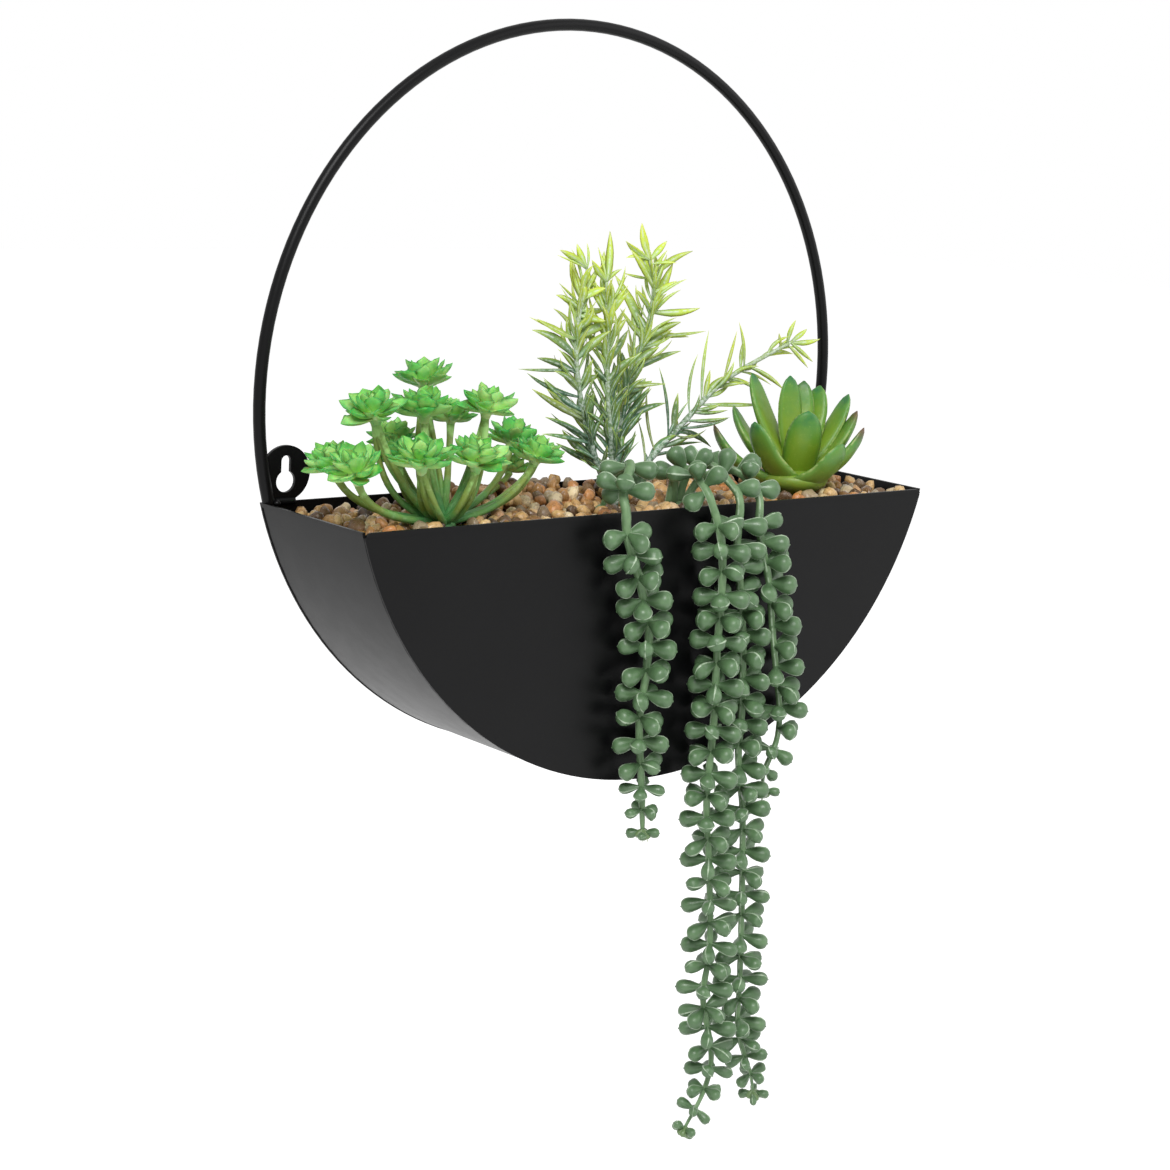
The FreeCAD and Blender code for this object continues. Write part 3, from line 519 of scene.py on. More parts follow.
def add_leaf(build, spine, normal, widths, thicks, columns, cup=0.0, fold=0.0, **values):
    """Leaf along a spine: cup curls its sides up round, fold creases it at the midrib."""
    rows = len(spine)
    tangents = unit(np.gradient(spine, axis=0))
    sides = unit(np.cross(tangents, normal))
    ups = np.cross(sides, tangents)
    across = np.linspace(-1.0, 1.0, columns)
    half = np.asarray(widths)[:, None] / 2
    rise = half * (cup * across ** 2 + fold * np.abs(across))
    body = np.asarray(thicks)[:, None] / 2 * np.sqrt(np.maximum(0.0, 1 - across ** 2))
    flat = spine[:, None] + sides[:, None] * (half * across)[..., None]
    top = flat + ups[:, None] * (rise + body)[..., None]
    bottom = flat + ups[:, None] * (rise - body)[..., None]
    points = np.concatenate((top, bottom[:, -2:0:-1]), axis=1)
    ring = np.abs(np.concatenate((across, across[-2:0:-1])))
    along = np.repeat(np.linspace(0, 1, rows), len(ring))
    build.add(points, ring_faces(rows, len(ring)), along=along, across=np.tile(ring, rows), **values)


def add_stake(build, base, crown):
    """Ribbed pointed stake in the foam, with a round crown of this radius on the gravel."""
    heights = np.array((-45.0, -43.0, -39.0, -30.0, -22.0, -14.0, -7.0, -1.5, 0.0, 1.2, 2.6, 3.4))
    radii = np.array((0.4, 1.1, 1.9, 1.7, 1.95, 1.7, 1.95, 1.8, crown, crown, crown - 0.7, crown * 0.5))
    line = np.array((*base, GRAVEL_TOP)) + np.outer(heights, UPWARD)
    sides = 16
    ribs = np.where(np.arange(sides) % 4 == 0, 1.0, 0.86)
    reach = radii[:, None] * np.where(heights[:, None] < -1, ribs, 1.0)
    points = ring_points(line, polar(0, 0), polar(90, 0), ring_angles(sides), reach)
    build.add(points, ring_faces(len(heights), sides))


# Metalwork

SEAM_RADIUS = RADIUS - 0.6
SEAM_INSET = 1.1
SEAM_WIDTH = 1.1


def cover(node, look):
    """Give a CAD node that stays a better material."""
    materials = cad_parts[node].data.materials
    materials.clear()
    materials.append(LOOKS[look])


def dress_metal():
    for name in ("front_panel", "back_panel", "curved_wall", "hoop", "keyhole_tab_left", "keyhole_tab_right",
                 "tab_weld_left", "tab_weld_right", "hoop_weld_left", "hoop_weld_right"):
        cover(name, "powder_coat")


def add_seams():
    """Dark joint lines where the flat panels meet the curved wall: weld seams, darkened as painted shade of
    the gap at the joint.
    """
    build = Build()
    reach = math.acos((CENTRE - RIM) / SEAM_RADIUS)
    sweep = np.linspace(-reach, reach, 121)
    radii = SEAM_WIDTH / 2 * (1 + 0.12 * np.sin(sweep * 90.0))
    for y in (FRONT + SEAM_INSET, -SEAM_INSET):
        heights = CENTRE - SEAM_RADIUS * np.cos(sweep)
        line = np.column_stack((SEAM_RADIUS * np.sin(sweep), np.full(len(sweep), y), heights))
        add_tube(build, line, radii, 8)
    build.make("panel_seams", "seam_and_gap_shade", "planter")


# Gravel

GRAVEL_LAYERS = [  # level, pitch, left end, right end, front: two full layers, then heaps along the back
    (-13.6, 7.2, -146, 146.1, -70), (-10.9, 7, -146, 146.1, -70), (-7.7, 6.4, -70, -6, -36),
    (-8.8, 6.6, 10, 78, -24), (-8.9, 6.6, 108, 140, -30), (-6, 6.2, -66, -6, -19),
]
LAYERS_REAR = -8.0
GRAVEL_RADIUS = RADIUS - 2.0
GRAVEL_FRONT, GRAVEL_REAR = FRONT + 1.6, -6.0
STAKE_ROOM = [(ROSETTE_BASE, 7.5), (SPRIG_BASE, 6.5), (AGAVE_BASE, 11.0), (LEFT_BASE, 6.0), (RIGHT_BASE, 6.5)]
STONE_SIZE = (2.8, 4.7)
STONE_SHIFT, STONE_LIFT = 2.3, 0.9
STONE_FLATS = 11
FLAT_SHARPNESS = 20
STONE_REACH = 1.08


def stone_template():
    shape = bmesh.new()
    bmesh.ops.create_icosphere(shape, subdivisions=2, radius=1.0)
    points = np.array([v.co for v in shape.verts])
    faces = [tuple(v.index for v in f.verts) for f in shape.faces]
    shape.free()
    return points, faces


def add_stone(build, template, centre, size, rng):
    """Worn pebble: a ball trimmed by rounded flats."""
    points, faces = template
    flats = unit(rng.normal(size=(STONE_FLATS, 3)))
    depths = rng.uniform(0.55, 1.0, STONE_FLATS)
    press = np.maximum(points @ flats.T, 0.0) / depths
    trimmed = ((press ** FLAT_SHARPNESS).sum(axis=1) + 1e-9) ** (-1 / FLAT_SHARPNESS)
    reach = np.minimum(trimmed, STONE_REACH)[:, None]
    shape = points * reach * rng.uniform((0.8, 0.7, 0.62), (1.2, 1.02, 0.9)) * size
    turn = np.linalg.qr(rng.normal(size=(3, 3)))[0]
    if np.linalg.det(turn) < 0:
        turn[:, 0] *= -1
    build.add(centre + shape @ turn.T, faces, tone=rng.uniform())


def stone_fits(x, y, z, size):
    """Whether a stone stays inside the trough and beside the plants' stakes."""
    wall = math.sqrt(GRAVEL_RADIUS ** 2 - (CENTRE - z) ** 2) - size
    if abs(x) > wall or not GRAVEL_FRONT + size * 0.8 < y < GRAVEL_REAR - size * 0.8:
        return False
    return all(math.hypot(x - a, y - b) >= room + size * 0.4 for (a, b), room in STAKE_ROOM)


def dress_insert():
    cover("foam_block", "floral_foam")
    cover("gravel_bed", "packed_gravel")
    rng = np.random.default_rng(12)
    template = stone_template()
    build = Build()
    for level, pitch, left, right, front in GRAVEL_LAYERS:
        for column in np.arange(left, right, pitch):
            for row in np.arange(front, LAYERS_REAR, pitch):
                x, y = np.array((column, row)) + rng.uniform(-STONE_SHIFT, STONE_SHIFT, 2)
                size = rng.uniform(*STONE_SIZE)
                z = level + rng.uniform(-STONE_LIFT, STONE_LIFT)
                if stone_fits(x, y, z, size):
                    add_stone(build, template, (x, y, z), size, rng)
    build.make("pebbles", "pebble", "insert", ("loose_stones",))


# Rosette plant

ROSETTE_HEADS = [  # to the right of the base, y, height over the rim, size
    (-50.5, -67, 18.8, 1), (-22.5, -69, 21.5, 1), (4, -68, 20.4, 1), (44, -53, 18.2, 0.92),
    (-31.5, -50, 37.8, 1), (-8, -49, 37.6, 1), (16.5, -56, 39.2, 0.92), (8.5, -25, 46, 0.95),
    (52.5, -26, 21, 0.9), (60, -16, 8.2, 0.62), (-4, -23, 23.5, 0.82), (-44.5, -43, 18, 0.9),
    (-17, -45, 20, 0.82), (16.5, -33, 33, 0.8),
]
ROSETTE_WHORLS = [  # leaves, length, width, elevation, height on the hub
    (6, 13, 8, 2, 2.2), (7, 13.4, 8, 17, 2.8), (6, 12.8, 7.6, 36, 3.4), (4, 11.6, 6.8, 56, 4),
    (3, 9.6, 5.4, 77, 4.4),
]
ROSETTE_LEAN = 20.0  # degrees that the outer heads tilt away from the base
FULL_LEAN_REACH = 50.0
LOWEST_START = 5.0  # degrees above level at which a stem leaves the base
STEM_ROOT = 2.75
NEAR_REACH, LARGE_HEAD = 45.0, 0.8  # larger heads that are nearer than this have two slim stems as well
SLIM_STEMS = ((8.0, 0.85), (-7.0, 0.6))  # how far aside and how far along a slim stem's corner is
SHORT_LEAVED = (0, 3, 8)  # heads at the plant's sides, which keep clear of what is next to them
HEAD_TURN, WHORL_TURN = 47.0, 31.0


def add_rosette_stems(build, base, top, axis, size, i, tone):
    """Stem from the base into a head, and two slimmer ones where a large head is near."""
    away = top - base
    reach, rise = math.hypot(away[0], away[1]), away[2]
    slope = math.tan(max(1.5 * math.atan2(rise, reach) - math.pi / 4, math.radians(LOWEST_START)))
    corner = top - axis * ((rise - reach * slope) / (axis[2] - math.hypot(axis[0], axis[1]) * slope))
    t = np.linspace(0, 1, 15)
    radii = profile(t, (0, 1.95), (0.3, 1.5), (0.85, 1.35), (1, 1.9)) * (0.75 + 0.25 * size)
    radii *= 1 + 0.05 * np.sin(17 * t + i)
    add_tube(build, curve(base, corner, top, t), radii, 12, 0.08, along=t, tone=tone)
    if reach < NEAR_REACH and size > LARGE_HEAD:
        for aside, near in SLIM_STEMS:
            sideways = np.array((-away[1], away[0], 0.0)) / reach * (aside if i % 2 else -aside)
            corner = base + away * (near, near, 0.12) + sideways
            add_tube(build, curve(base, corner, top, t), radii * 0.85, 12, 0.08, along=t)


def add_rosette_leaf(build, foot, turn, azimuth, elevation, length, width, young, rng):
    """Cupped leaf with a short point, in the head's own directions."""
    t = np.linspace(0, 1, 15)
    lift = rng.uniform(20.0, 58.0)
    spine = foot + steered_line(np.zeros(3), azimuth, elevation + lift * t[:-1] ** 2, length) @ turn.T
    widths = width * profile(t, (0, 0.42), (0.2, 0.64), (0.45, 0.92), (0.62, 1.0), (0.78, 0.88), (0.88, 0.6),
                             (0.95, 0.26), (1, 0.04))
    waves = 0.08 * np.sin(26.0 * t + rng.uniform(0.0, 6.0))
    widths *= 1 + waves * profile(t, (0.3, 0), (0.6, 1), (0.9, 1), (1, 0))
    thicks = profile(t, (0, 1.7), (0.5, 1.1), (0.9, 0.6), (1, 0.2))
    roll = polar(azimuth + 90.0, 0.0) * rng.uniform(-0.4, 0.4)
    normal = unit(polar(azimuth, elevation + 90.0) + roll) @ turn.T
    add_leaf(build, spine, normal, widths, thicks, 9, cup=rng.uniform(0.35, 0.62), tone=rng.uniform(),
             young=young)


def add_rosette_head(build, top, axis, size, i, rng):
    """Hub on the end of a stem, with whorls of leaves that close towards its top."""
    side = unit(np.cross(axis, (0.0, 1.0, 0.0)))
    turn = np.column_stack((side, np.cross(axis, side), axis))
    hub = top + np.outer((-1.5, 0.6, 2.4, 4.2, 5.4), axis) * size
    add_tube(build, hub, np.array((1.7, 2.3, 3.4, 3.5, 1.2)) * size, 12, along=0.05)
    for whorl, (count, length, width, elevation, height) in enumerate(ROSETTE_WHORLS):
        longest = 1.15 if whorl < 2 and i not in SHORT_LEAVED else 1.0
        for k in range(count):
            azimuth = HEAD_TURN * i + WHORL_TURN * whorl + 360.0 * k / count + rng.uniform(-13, 13)
            foot = (polar(azimuth, 0) * 1.1 + UPWARD * height) * size
            add_rosette_leaf(build, top + turn @ foot, turn, azimuth, elevation + rng.uniform(-9, 9),
                             length * size * rng.uniform(0.8, longest),
                             width * size * rng.uniform(0.86, 1.1), 0.2 * whorl,
                             np.random.default_rng(rng.randrange(10 ** 6)))


def dress_rosettes():
    stems = Build()
    base = np.array((*ROSETTE_BASE, GRAVEL_TOP + STEM_ROOT))
    add_stake(stems, ROSETTE_BASE, 5.0)
    for i, (right, y, height, size) in enumerate(ROSETTE_HEADS):
        rng = random.Random(100 + i)
        top = np.array((base[0] + right, y, RIM + height))
        back = y - base[1]
        lean = ROSETTE_LEAN * min(1.0, math.hypot(right, back) / FULL_LEAN_REACH)
        axis = polar(math.degrees(math.atan2(back, right)), 90.0 - lean)
        add_rosette_stems(stems, base, top, axis, size, i, rng.random())
        head = Build()
        add_rosette_head(head, top, axis, size, i, rng)
        head.dress("rosette_head_%02d" % (i + 1), "rosette_leaf", "rosette_plant")
    stems.dress("rosette_stems", "rosette_stem", "rosette_plant")


# Agave

# Azimuth, elevation, length, width, height of the foot, blush at the tip, share of the width at the foot
AGAVE_LEAVES = [
    (147, 27, 46, 13, 4, 0.9, 0.9), (180, 40, 39, 16.5, 2.5, 0, 1.3), (280, 35, 33, 18, 2, 0, 1.4),
    (306, 35, 40, 13, 4, 1, 1.1), (331, 41, 41, 13, 5, 1, 0.9), (60, 35, 34, 13, 5, 0.6, 0.9),
    (126, 37, 42, 14, 6, 0.1, 0.9), (351, 44, 44, 12.5, 7, 0, 0.7), (243, 56, 35, 17, 5, 0, 0.9),
    (111, 49, 48, 15, 8, 0, 0.66), (21, 51, 42, 14, 8, 0, 0.66), (41, 58, 41, 12, 9, 0.2, 0.66),
    (81, 67, 41, 13, 10, 0, 0.66),
]
AGAVE_FOOT = 1.5
LOW_LEAF, HIGH_LEAF = 28.0, 48.0  # elevations of leaves that count as low and as high


def add_agave_leaf(build, foot, azimuth, elevation, length, width, height, blush, base):
    """Thick leaf that curves up, more so and with a deeper trough where it starts low."""
    t = np.linspace(0, 1, 22)
    low = float(np.clip((HIGH_LEAF - elevation) / (HIGH_LEAF - LOW_LEAF), 0, 1))
    rises = elevation + 26.0 * t + low * (44.0 * t - 26.0)
    start = foot + UPWARD * height + polar(azimuth, 0)
    spine = steered_line(start, azimuth, rises[:-1], length + 1.0)
    widths = width * profile(t, (0, base), (0.15, 0.1 + 0.9 * base), (0.38, 0.4 + 0.6 * max(base, 0.95)),
                             (0.55, 1.0), (0.72, 0.94), (0.84, 0.78), (0.92, 0.57), (0.97, 0.34), (1, 0.06))
    thicks = profile(t, (0, 5.4), (0.3, 5.6), (0.6, 5.2), (0.85, 3.8), (0.96, 2.0), (1, 0.4))
    cup = 0.16 + low * profile(t, (0, 0.3), (0.35, 0.16), (0.8, 0.0))[:, None]
    normal = polar(azimuth, elevation + 102.0)
    add_leaf(build, spine, normal, widths, thicks, 11, cup=cup, low=low * 0.8, blush=blush)


def dress_agave():
    head = Build()
    foot = np.array((*AGAVE_BASE, GRAVEL_TOP + AGAVE_FOOT))
    bowl = foot + np.outer((-0.5, 1.0, 2.6, 4.6, 7.0, 9.0, 10.5, 12.0), UPWARD)
    add_tube(head, bowl, np.array((6.5, 9.0, 12.0, 14.2, 15.0, 13.6, 9.5, 2.2)), 28, along=0.2, low=0.4)
    for leaf in AGAVE_LEAVES:
        add_agave_leaf(head, foot, *leaf)
    head.dress("agave_head", "agave_leaf", "agave_plant")
    stake = Build()
    add_stake(stake, AGAVE_BASE, 6.0)
    stake.dress("agave_stake", "stake_plastic", "agave_plant")


# Sprig plant

SPRIG_ROUTES = [  # points of each stem: to the right of the base, y, height over the rim
    [(-3, -34.5, -5), (-3.5, -34.5, 0), (-12.5, -34.5, 15), (-22.5, -35, 40), (-27.5, -36, 66),
     (-23, -35, 95)],
    [(-1, -36.5, -5), (-1, -36.5, 0), (-5.5, -37.5, 14), (-11, -38.5, 42), (-13.5, -39, 68),
     (-15.5, -39, 90)],
    [(1.5, -32, -5), (1.5, -32, 0), (3.5, -30.5, 24), (5.5, -30, 46), (14.5, -29, 64), (19.5, -28, 82),
     (16.5, -28, 98)],
    [(2, -34.5, -5), (3.5, -34.5, 0), (17.5, -30, 9.5), (44.5, -22, 25.5), (76.5, -14, 43.5),
     (117, -13, 60)],
]
# Radius at the foot, whorls of short leaves and leaves in each, how young these get along the stem
SPRIG_STEMS = [
    (1.5, 17, 4, 1.3, -0.35), (2.2, 17, 4, 1.3, -0.35), (1.6, 17, 4, 1.3, -0.35), (1.5, 9, 2, 1.6, -0.5),
]
# Leaves by stem, as the picture shows them: foot and tip in the camera's frame, and width
SPRIG_LEAVES = [
    [(576, 310, 556, 295, 3), (571, 302, 559, 283, 1.3), (576, 298, 571, 256, 3.8),
     (582, 300, 573, 260, 2.6), (572, 266, 557, 255, 1.3), (582, 264, 560, 250, 3),
     (591, 271, 577, 244, 3.2), (589, 261, 587, 243, 1.1), (588, 300, 606, 288, 3.2),
     (583, 308, 605, 308, 4.4), (579, 315, 606, 321, 3), (582, 338, 617, 321, 4), (585, 337, 591, 321, 3),
     (561, 340, 537, 319, 3.5), (571, 340, 529, 317, 1.5), (564, 362, 532, 330, 3.8),
     (571, 376, 537, 358, 3), (570, 371, 518, 369, 1.5), (574, 391, 554, 371, 2.5),
     (577, 396, 527, 373, 2.2), (578, 412, 544, 380, 3.4), (579, 418, 547, 389, 3), (579, 421, 532, 389, 3),
     (586, 440, 545, 417, 2.4), (587, 444, 542, 434, 2.2), (592, 463, 562, 430, 3.2),
     (594, 467, 556, 443, 2.8), (583, 381, 600, 375, 3.4), (577, 394, 593, 376, 3),
     (578, 359, 610, 331, 3.8), (589, 435, 586, 401, 3.8), (592, 419, 594, 391, 3.4)],
    [(595, 277, 592, 260, 3), (596, 266, 598, 247, 1.3), (600, 268, 610, 231, 3.4),
     (605, 289, 604, 251, 3.2), (606, 271, 622, 269, 2), (607, 265, 613, 260, 2), (608, 297, 613, 287, 1.3),
     (610, 322, 606, 292, 4.2), (612, 320, 629, 292, 3), (608, 340, 590, 318, 2.6),
     (618, 361, 628, 330, 3.6), (616, 350, 600, 322, 3.2), (601, 468, 622, 432, 3.6),
     (606, 458, 610, 434, 1.3), (606, 432, 622, 429, 2.2), (606, 409, 614, 362, 4.2),
     (610, 409, 638, 384, 2.4), (617, 379, 642, 352, 3), (612, 382, 594, 368, 3), (620, 400, 602, 376, 3.2),
     (621, 412, 606, 388, 3.4), (622, 380, 636, 356, 3.2), (614, 345, 627, 318, 3.2),
     (618, 430, 600, 404, 3.4)],
    [(654, 261, 642, 223, 3.4), (652, 257, 626, 241, 3), (655, 288, 631, 250, 3.8), (653, 268, 646, 249, 2),
     (646, 260, 626, 258, 2), (648, 277, 624, 273, 1.3), (654, 256, 667, 241, 2.8),
     (655, 264, 677, 263, 1.6), (654, 278, 693, 251, 3), (654, 306, 673, 263, 3.8),
     (655, 292, 677, 281, 2.4), (655, 310, 700, 308, 3.6), (647, 334, 615, 275, 4.2),
     (652, 310, 635, 289, 2.5), (640, 340, 620, 308, 2), (636, 330, 638, 314, 3), (646, 342, 631, 325, 3),
     (650, 340, 681, 322, 3.8), (648, 337, 706, 331, 1.6), (650, 337, 689, 337, 2.4),
     (639, 340, 648, 320, 1.4), (634, 392, 652, 381, 3.4), (632, 391, 666, 384, 1.8),
     (628, 424, 650, 387, 3.6), (626, 427, 666, 403, 3.4), (624, 451, 647, 401, 3.2),
     (624, 445, 642, 418, 3), (637, 377, 681, 351, 3.4), (638, 368, 659, 347, 3.8), (636, 366, 640, 344, 3),
     (640, 352, 672, 330, 3.8), (634, 380, 622, 352, 3.2), (630, 404, 646, 378, 3.2),
     (626, 420, 612, 396, 3)],
    [(668, 440, 659, 367, 1.4), (671, 432, 678, 393, 3), (689, 416, 698, 354, 1.4),
     (704, 403, 709, 330, 1.5), (704, 402, 710, 370, 2.5), (705, 400, 725, 376, 3.2),
     (707, 399, 729, 385, 2), (700, 406, 766, 405, 2.4), (692, 413, 728, 410, 1.7),
     (678, 427, 730, 417, 2.2), (671, 433, 711, 447, 3), (662, 443, 691, 422, 1.9),
     (659, 446, 693, 434, 2.6), (658, 448, 703, 442, 2), (647, 461, 676, 435, 3.4),
     (652, 458, 684, 452, 1.7), (655, 452, 647, 388, 1.5), (725, 382, 737, 331, 1.5),
     (743, 368, 739, 322, 1.5), (727, 380, 750, 383, 3.2), (737, 374, 771, 385, 1.6),
     (749, 366, 784, 390, 2.4), (759, 359, 793, 354, 3.2), (788, 345, 808, 368, 1.7),
     (777, 350, 788, 339, 2), (782, 347, 779, 333, 1.5), (788, 344, 796, 320, 2.2),
     (791, 343, 807, 329, 2.4), (792, 343, 820, 339, 2.8), (792, 343, 813, 362, 2)],
]
SIDE_BRANCH = 3  # the stem that runs out to the right
OLD_ROW = 400.0
YOUTH_BY_COLUMN = ((668.0, 0.0), (728.0, 1.0))  # how young the side branch's leaves are at a pixel column
YOUTH_BY_ROW = ((290.0, 1.0), (OLD_ROW, 0.0))  # and those of the other stems at a pixel row
ROSETTE_SIDE = -31.0  # leaf tips left of this keep to the gap that two rosettes leave when they are pulled up
ROSETTE_GAP = -38.5
BRANCH_END = 60.0  # leaves to the right of this hardly come forward of the branch
TIP_NEAREST, TIP_REAR = -60.0, -7.6


def tip_depth(foot, x, y, nearest):
    """The y for a leaf's tip, as near to y as it can be while it keeps clear of its neighbours."""
    if x < ROSETTE_SIDE:
        return ROSETTE_GAP
    if foot[0] > BRANCH_END:
        nearest = foot[1] - 2.5
    return min(max(y, nearest), TIP_REAR)


def shape_sprig_leaf(build, foot, tip, width, young, rng, arch):
    """Folded, pointed leaf that arches up, or down where arch is negative, by this share of its length."""
    t = np.linspace(0, 1, 11)
    long = np.linalg.norm(tip - foot)
    turned = np.array((rng.uniform(-500, 500), rng.uniform(-300, 300), rng.uniform(-200, 700)))
    face = unit(EYE - foot + turned)
    lift = unit(np.cross(unit(tip - foot), face))
    if lift[2] < 0:
        lift = -lift
    bend = lift * long * arch + face * long * rng.uniform(-0.05, 0.05)
    spine = bent_spine(foot, tip, bend, len(t))
    widths = width * profile(t, (0, 0.4), (0.15, 0.62), (0.4, 1.0), (0.6, 0.96), (0.8, 0.62), (0.92, 0.3),
                             (1, 0.06))
    thicks = np.minimum(0.9, widths * 0.5) * profile(t, (0, 1.2), (0.5, 0.9), (1, 0.3))
    add_leaf(build, spine, face, widths, thicks, 5, fold=rng.uniform(-0.6, 0.6), tone=rng.random(),
             young=young)


def add_sprig_leaf(build, stem, young, u0, v0, u1, v1, width, rng):
    """Leaf whose foot is on its stem and whose tip is where the camera sees it."""
    spots = np.array([pixel(p) for p in stem])
    foot = stem[int(np.argmin(np.hypot(spots[:, 0] - u0, spots[:, 1] - v0)))]
    flat = seen(u1, v1, foot[1])
    lean = rng.uniform(-0.1 if v0 > OLD_ROW else -0.5, 0.55) * np.linalg.norm(flat - foot)
    tip = seen(u1, v1, tip_depth(foot, flat[0], foot[1] + lean, TIP_NEAREST))
    shape_sprig_leaf(build, foot, tip, width, young, rng, rng.uniform(-0.05, 0.09))


def fill_sprig(build, stem, whorls, leaves, slope, start, rng):
    """Whorls of short leaves along a stem, between the leaves that the picture shows."""
    tangents, first, second = carried_frames(stem)
    for k in range(whorls):
        place = 0.14 + 0.82 * (k + rng.random()) / whorls
        i = int(place * (len(stem) - 2))
        foot = stem[i]
        turn = rng.uniform(0.0, 2 * math.pi)
        for leaf in range(leaves):
            angle = turn + 0.5 * math.pi * leaf + rng.uniform(-0.5, 0.5)
            out = first[i] * math.cos(angle) + second[i] * math.sin(angle)
            spread = math.radians(rng.uniform(12.0, 50.0))
            aim = tangents[i] * math.cos(spread) + out * math.sin(spread)
            slim = rng.random()
            tip = foot + aim * (rng.uniform(11.0, 17.0) + 9.0 * slim) * (1.15 - 0.35 * place)
            tip[1] = tip_depth(foot, tip[0], tip[1], foot[1] - 9.0)
            width = (2.7 - 1.6 * slim) * (0.8 + 0.25 * place)
            shape_sprig_leaf(build, foot, tip, width, slope * place + start, rng, rng.uniform(-0.12, 0.12))


def dress_sprig():
    stems = Build()
    x = SPRIG_BASE[0]
    add_stake(stems, SPRIG_BASE, 4.2)
    for n, (route, leaves) in enumerate(zip(SPRIG_ROUTES, SPRIG_LEAVES)):
        thick, *fill = SPRIG_STEMS[n]
        rng = random.Random(40 + n)
        line = smooth_path([(x + right, back, RIM + height) for right, back, height in route], 2.0)
        share = np.linspace(0, 1, len(line))
        radii = profile(share, (0, thick), (0.3, 1.25), (0.8, 1.0), (1, 0.6))
        radii *= 1 + 0.07 * np.sin(60 * share)
        add_tube(stems, line, radii, 10, 0.05, young=np.clip(1.25 * share - 0.25, 0, 1))
        build = Build()
        for u, v, *rest in leaves:
            young = profile(u, *YOUTH_BY_COLUMN) if n == SIDE_BRANCH else profile(v, *YOUTH_BY_ROW)
            add_sprig_leaf(build, line, young, u, v, *rest, rng)
        fill_sprig(build, line, *fill, rng)
        build.dress("sprig_leaves_%d" % (n + 1), "sprig_leaf", "sprig_plant")
    stems.dress("sprig_stems", "sprig_stem", "sprig_plant")


# Trailing plants

ROOT_ROUTES = [  # points of each strand up to its fold: right of the stake, out from the wall, over the rim
    [(0, 48, -3), (0.5, 54, 11), (-2, 66, 18.5), (-12.5, 76.5, 13), (-17, 80.5, 8.2)],
    [(-2.5, 51, -3), (-4.5, 54, 9), (-8, 66, 14.5), (-10.5, 78, 10)],
    [(0.5, 51, -3), (2, 54, 10), (4, 66, 15.5), (5, 77, 10)],
    [(3, 51, -3), (9, 55, 8), (15.5, 66, 13), (17, 77, 9)],
]
TRAIL_ROUTES = [  # points from there on: right of the stake, out from the front, over the rim
    [(-18, 10, 3), (-16, 9.5, -8), (-9, 9.5, -25), (-2, 9.5, -46), (-2, 9.5, -66), (-4, 9.5, -86),
     (-1, 9.5, -112), (1.3, 9.5, -134)],
    [(-10, 10, 3), (-6.5, 13.5, -13), (-6, 15, -34), (-6.5, 15, -56), (-5, 14, -90), (-6, 14, -124),
     (-1, 13, -156), (2, 13, -190), (0, 13, -212), (7, 13, -239), (4, 13, -255), (-6, 13, -270.5)],
    [(5.5, 10, 3), (6.5, 9, -16), (12, 9, -48), (15, 9, -84), (15, 9, -108), (19, 9.5, -132),
     (22, 9.5, -170), (24, 9.5, -208), (25, 9.5, -232), (34, 9.5, -254), (36.8, 9.5, -264)],
    [(16.5, 10, 3), (18, 9.5, -10), (25.5, 9.5, -33), (29, 9.5, -52), (34, 9.5, -76), (37, 9.5, -92),
     (36, 9.5, -104), (30, 9.5, -117), (30.5, 9.5, -125)],
]
STUB_FOOT, STUB_TIP = (668, 506, -51.0), (678.5, 461, -52.0)  # pixel column, pixel row and y of a bare stem
PEARL_LENGTH, PEARL_RADIUS = 12.5, 3.7
SLIM_BY_HEIGHT = ((-160.0, 0.84), (-60.0, 1.0))  # share of that radius for a foot at this z
PEARL_OUTLINE = np.array([  # share of the length, share of the radius
    (-0.06, 0.3), (0.03, 0.3), (0.12, 0.36), (0.22, 0.49), (0.33, 0.65), (0.44, 0.81), (0.55, 0.93),
    (0.66, 1.0), (0.76, 1.0), (0.85, 0.91), (0.92, 0.74), (0.965, 0.51), (0.99, 0.28), (1.0, 0.12),
    (1.03, 0.05),
])
PARTING = np.array((-0.63, -0.77, 0.1))
# Corners of a pearl's ring, in degrees, closer together at its two seams
PEARL_RING = (0, 9, 36, 65, 90, 115, 144, 171, 180, 189, 216, 245, 270, 295, 324, 351)
SEAM_CORNERS = (0, 180)


def solids_of(node):
    """Corner points of each separate solid of a CAD node, in millimetres."""
    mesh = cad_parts[node].data
    corners = np.empty(len(mesh.vertices) * 3, np.float32)
    mesh.vertices.foreach_get("co", corners)
    points, same = np.unique(np.round(corners.reshape(-1, 3) * (1 / MM), 3), axis=0, return_inverse=True)
    edges = np.empty(len(mesh.edges) * 2, np.int32)
    mesh.edges.foreach_get("vertices", edges)
    ends = same.ravel()[edges.reshape(-1, 2)]
    label = np.arange(len(points))
    while True:
        low = np.minimum(label[ends[:, 0]], label[ends[:, 1]])
        fresh = label.copy()
        np.minimum.at(fresh, ends[:, 0], low)
        np.minimum.at(fresh, ends[:, 1], low)
        fresh = fresh[fresh]
        if (fresh == label).all():
            return [points[label == k] for k in np.unique(label)]
        label = fresh


def pearl_axis(points):
    """Foot, direction and length of a pearl leaf from its solid."""
    centre = points.mean(axis=0)
    axis = np.linalg.eigh(np.cov((points - centre).T))[1][:, 2]
    along = (points - centre) @ axis
    radius = np.linalg.norm(points - centre - along[:, None] * axis, axis=1)
    end = 2.0
    if radius[along < along.min() + end].max() > radius[along > along.max() - end].max():
        axis, along = -axis, -along
    return centre + axis * along.min(), axis, along.max() - along.min()


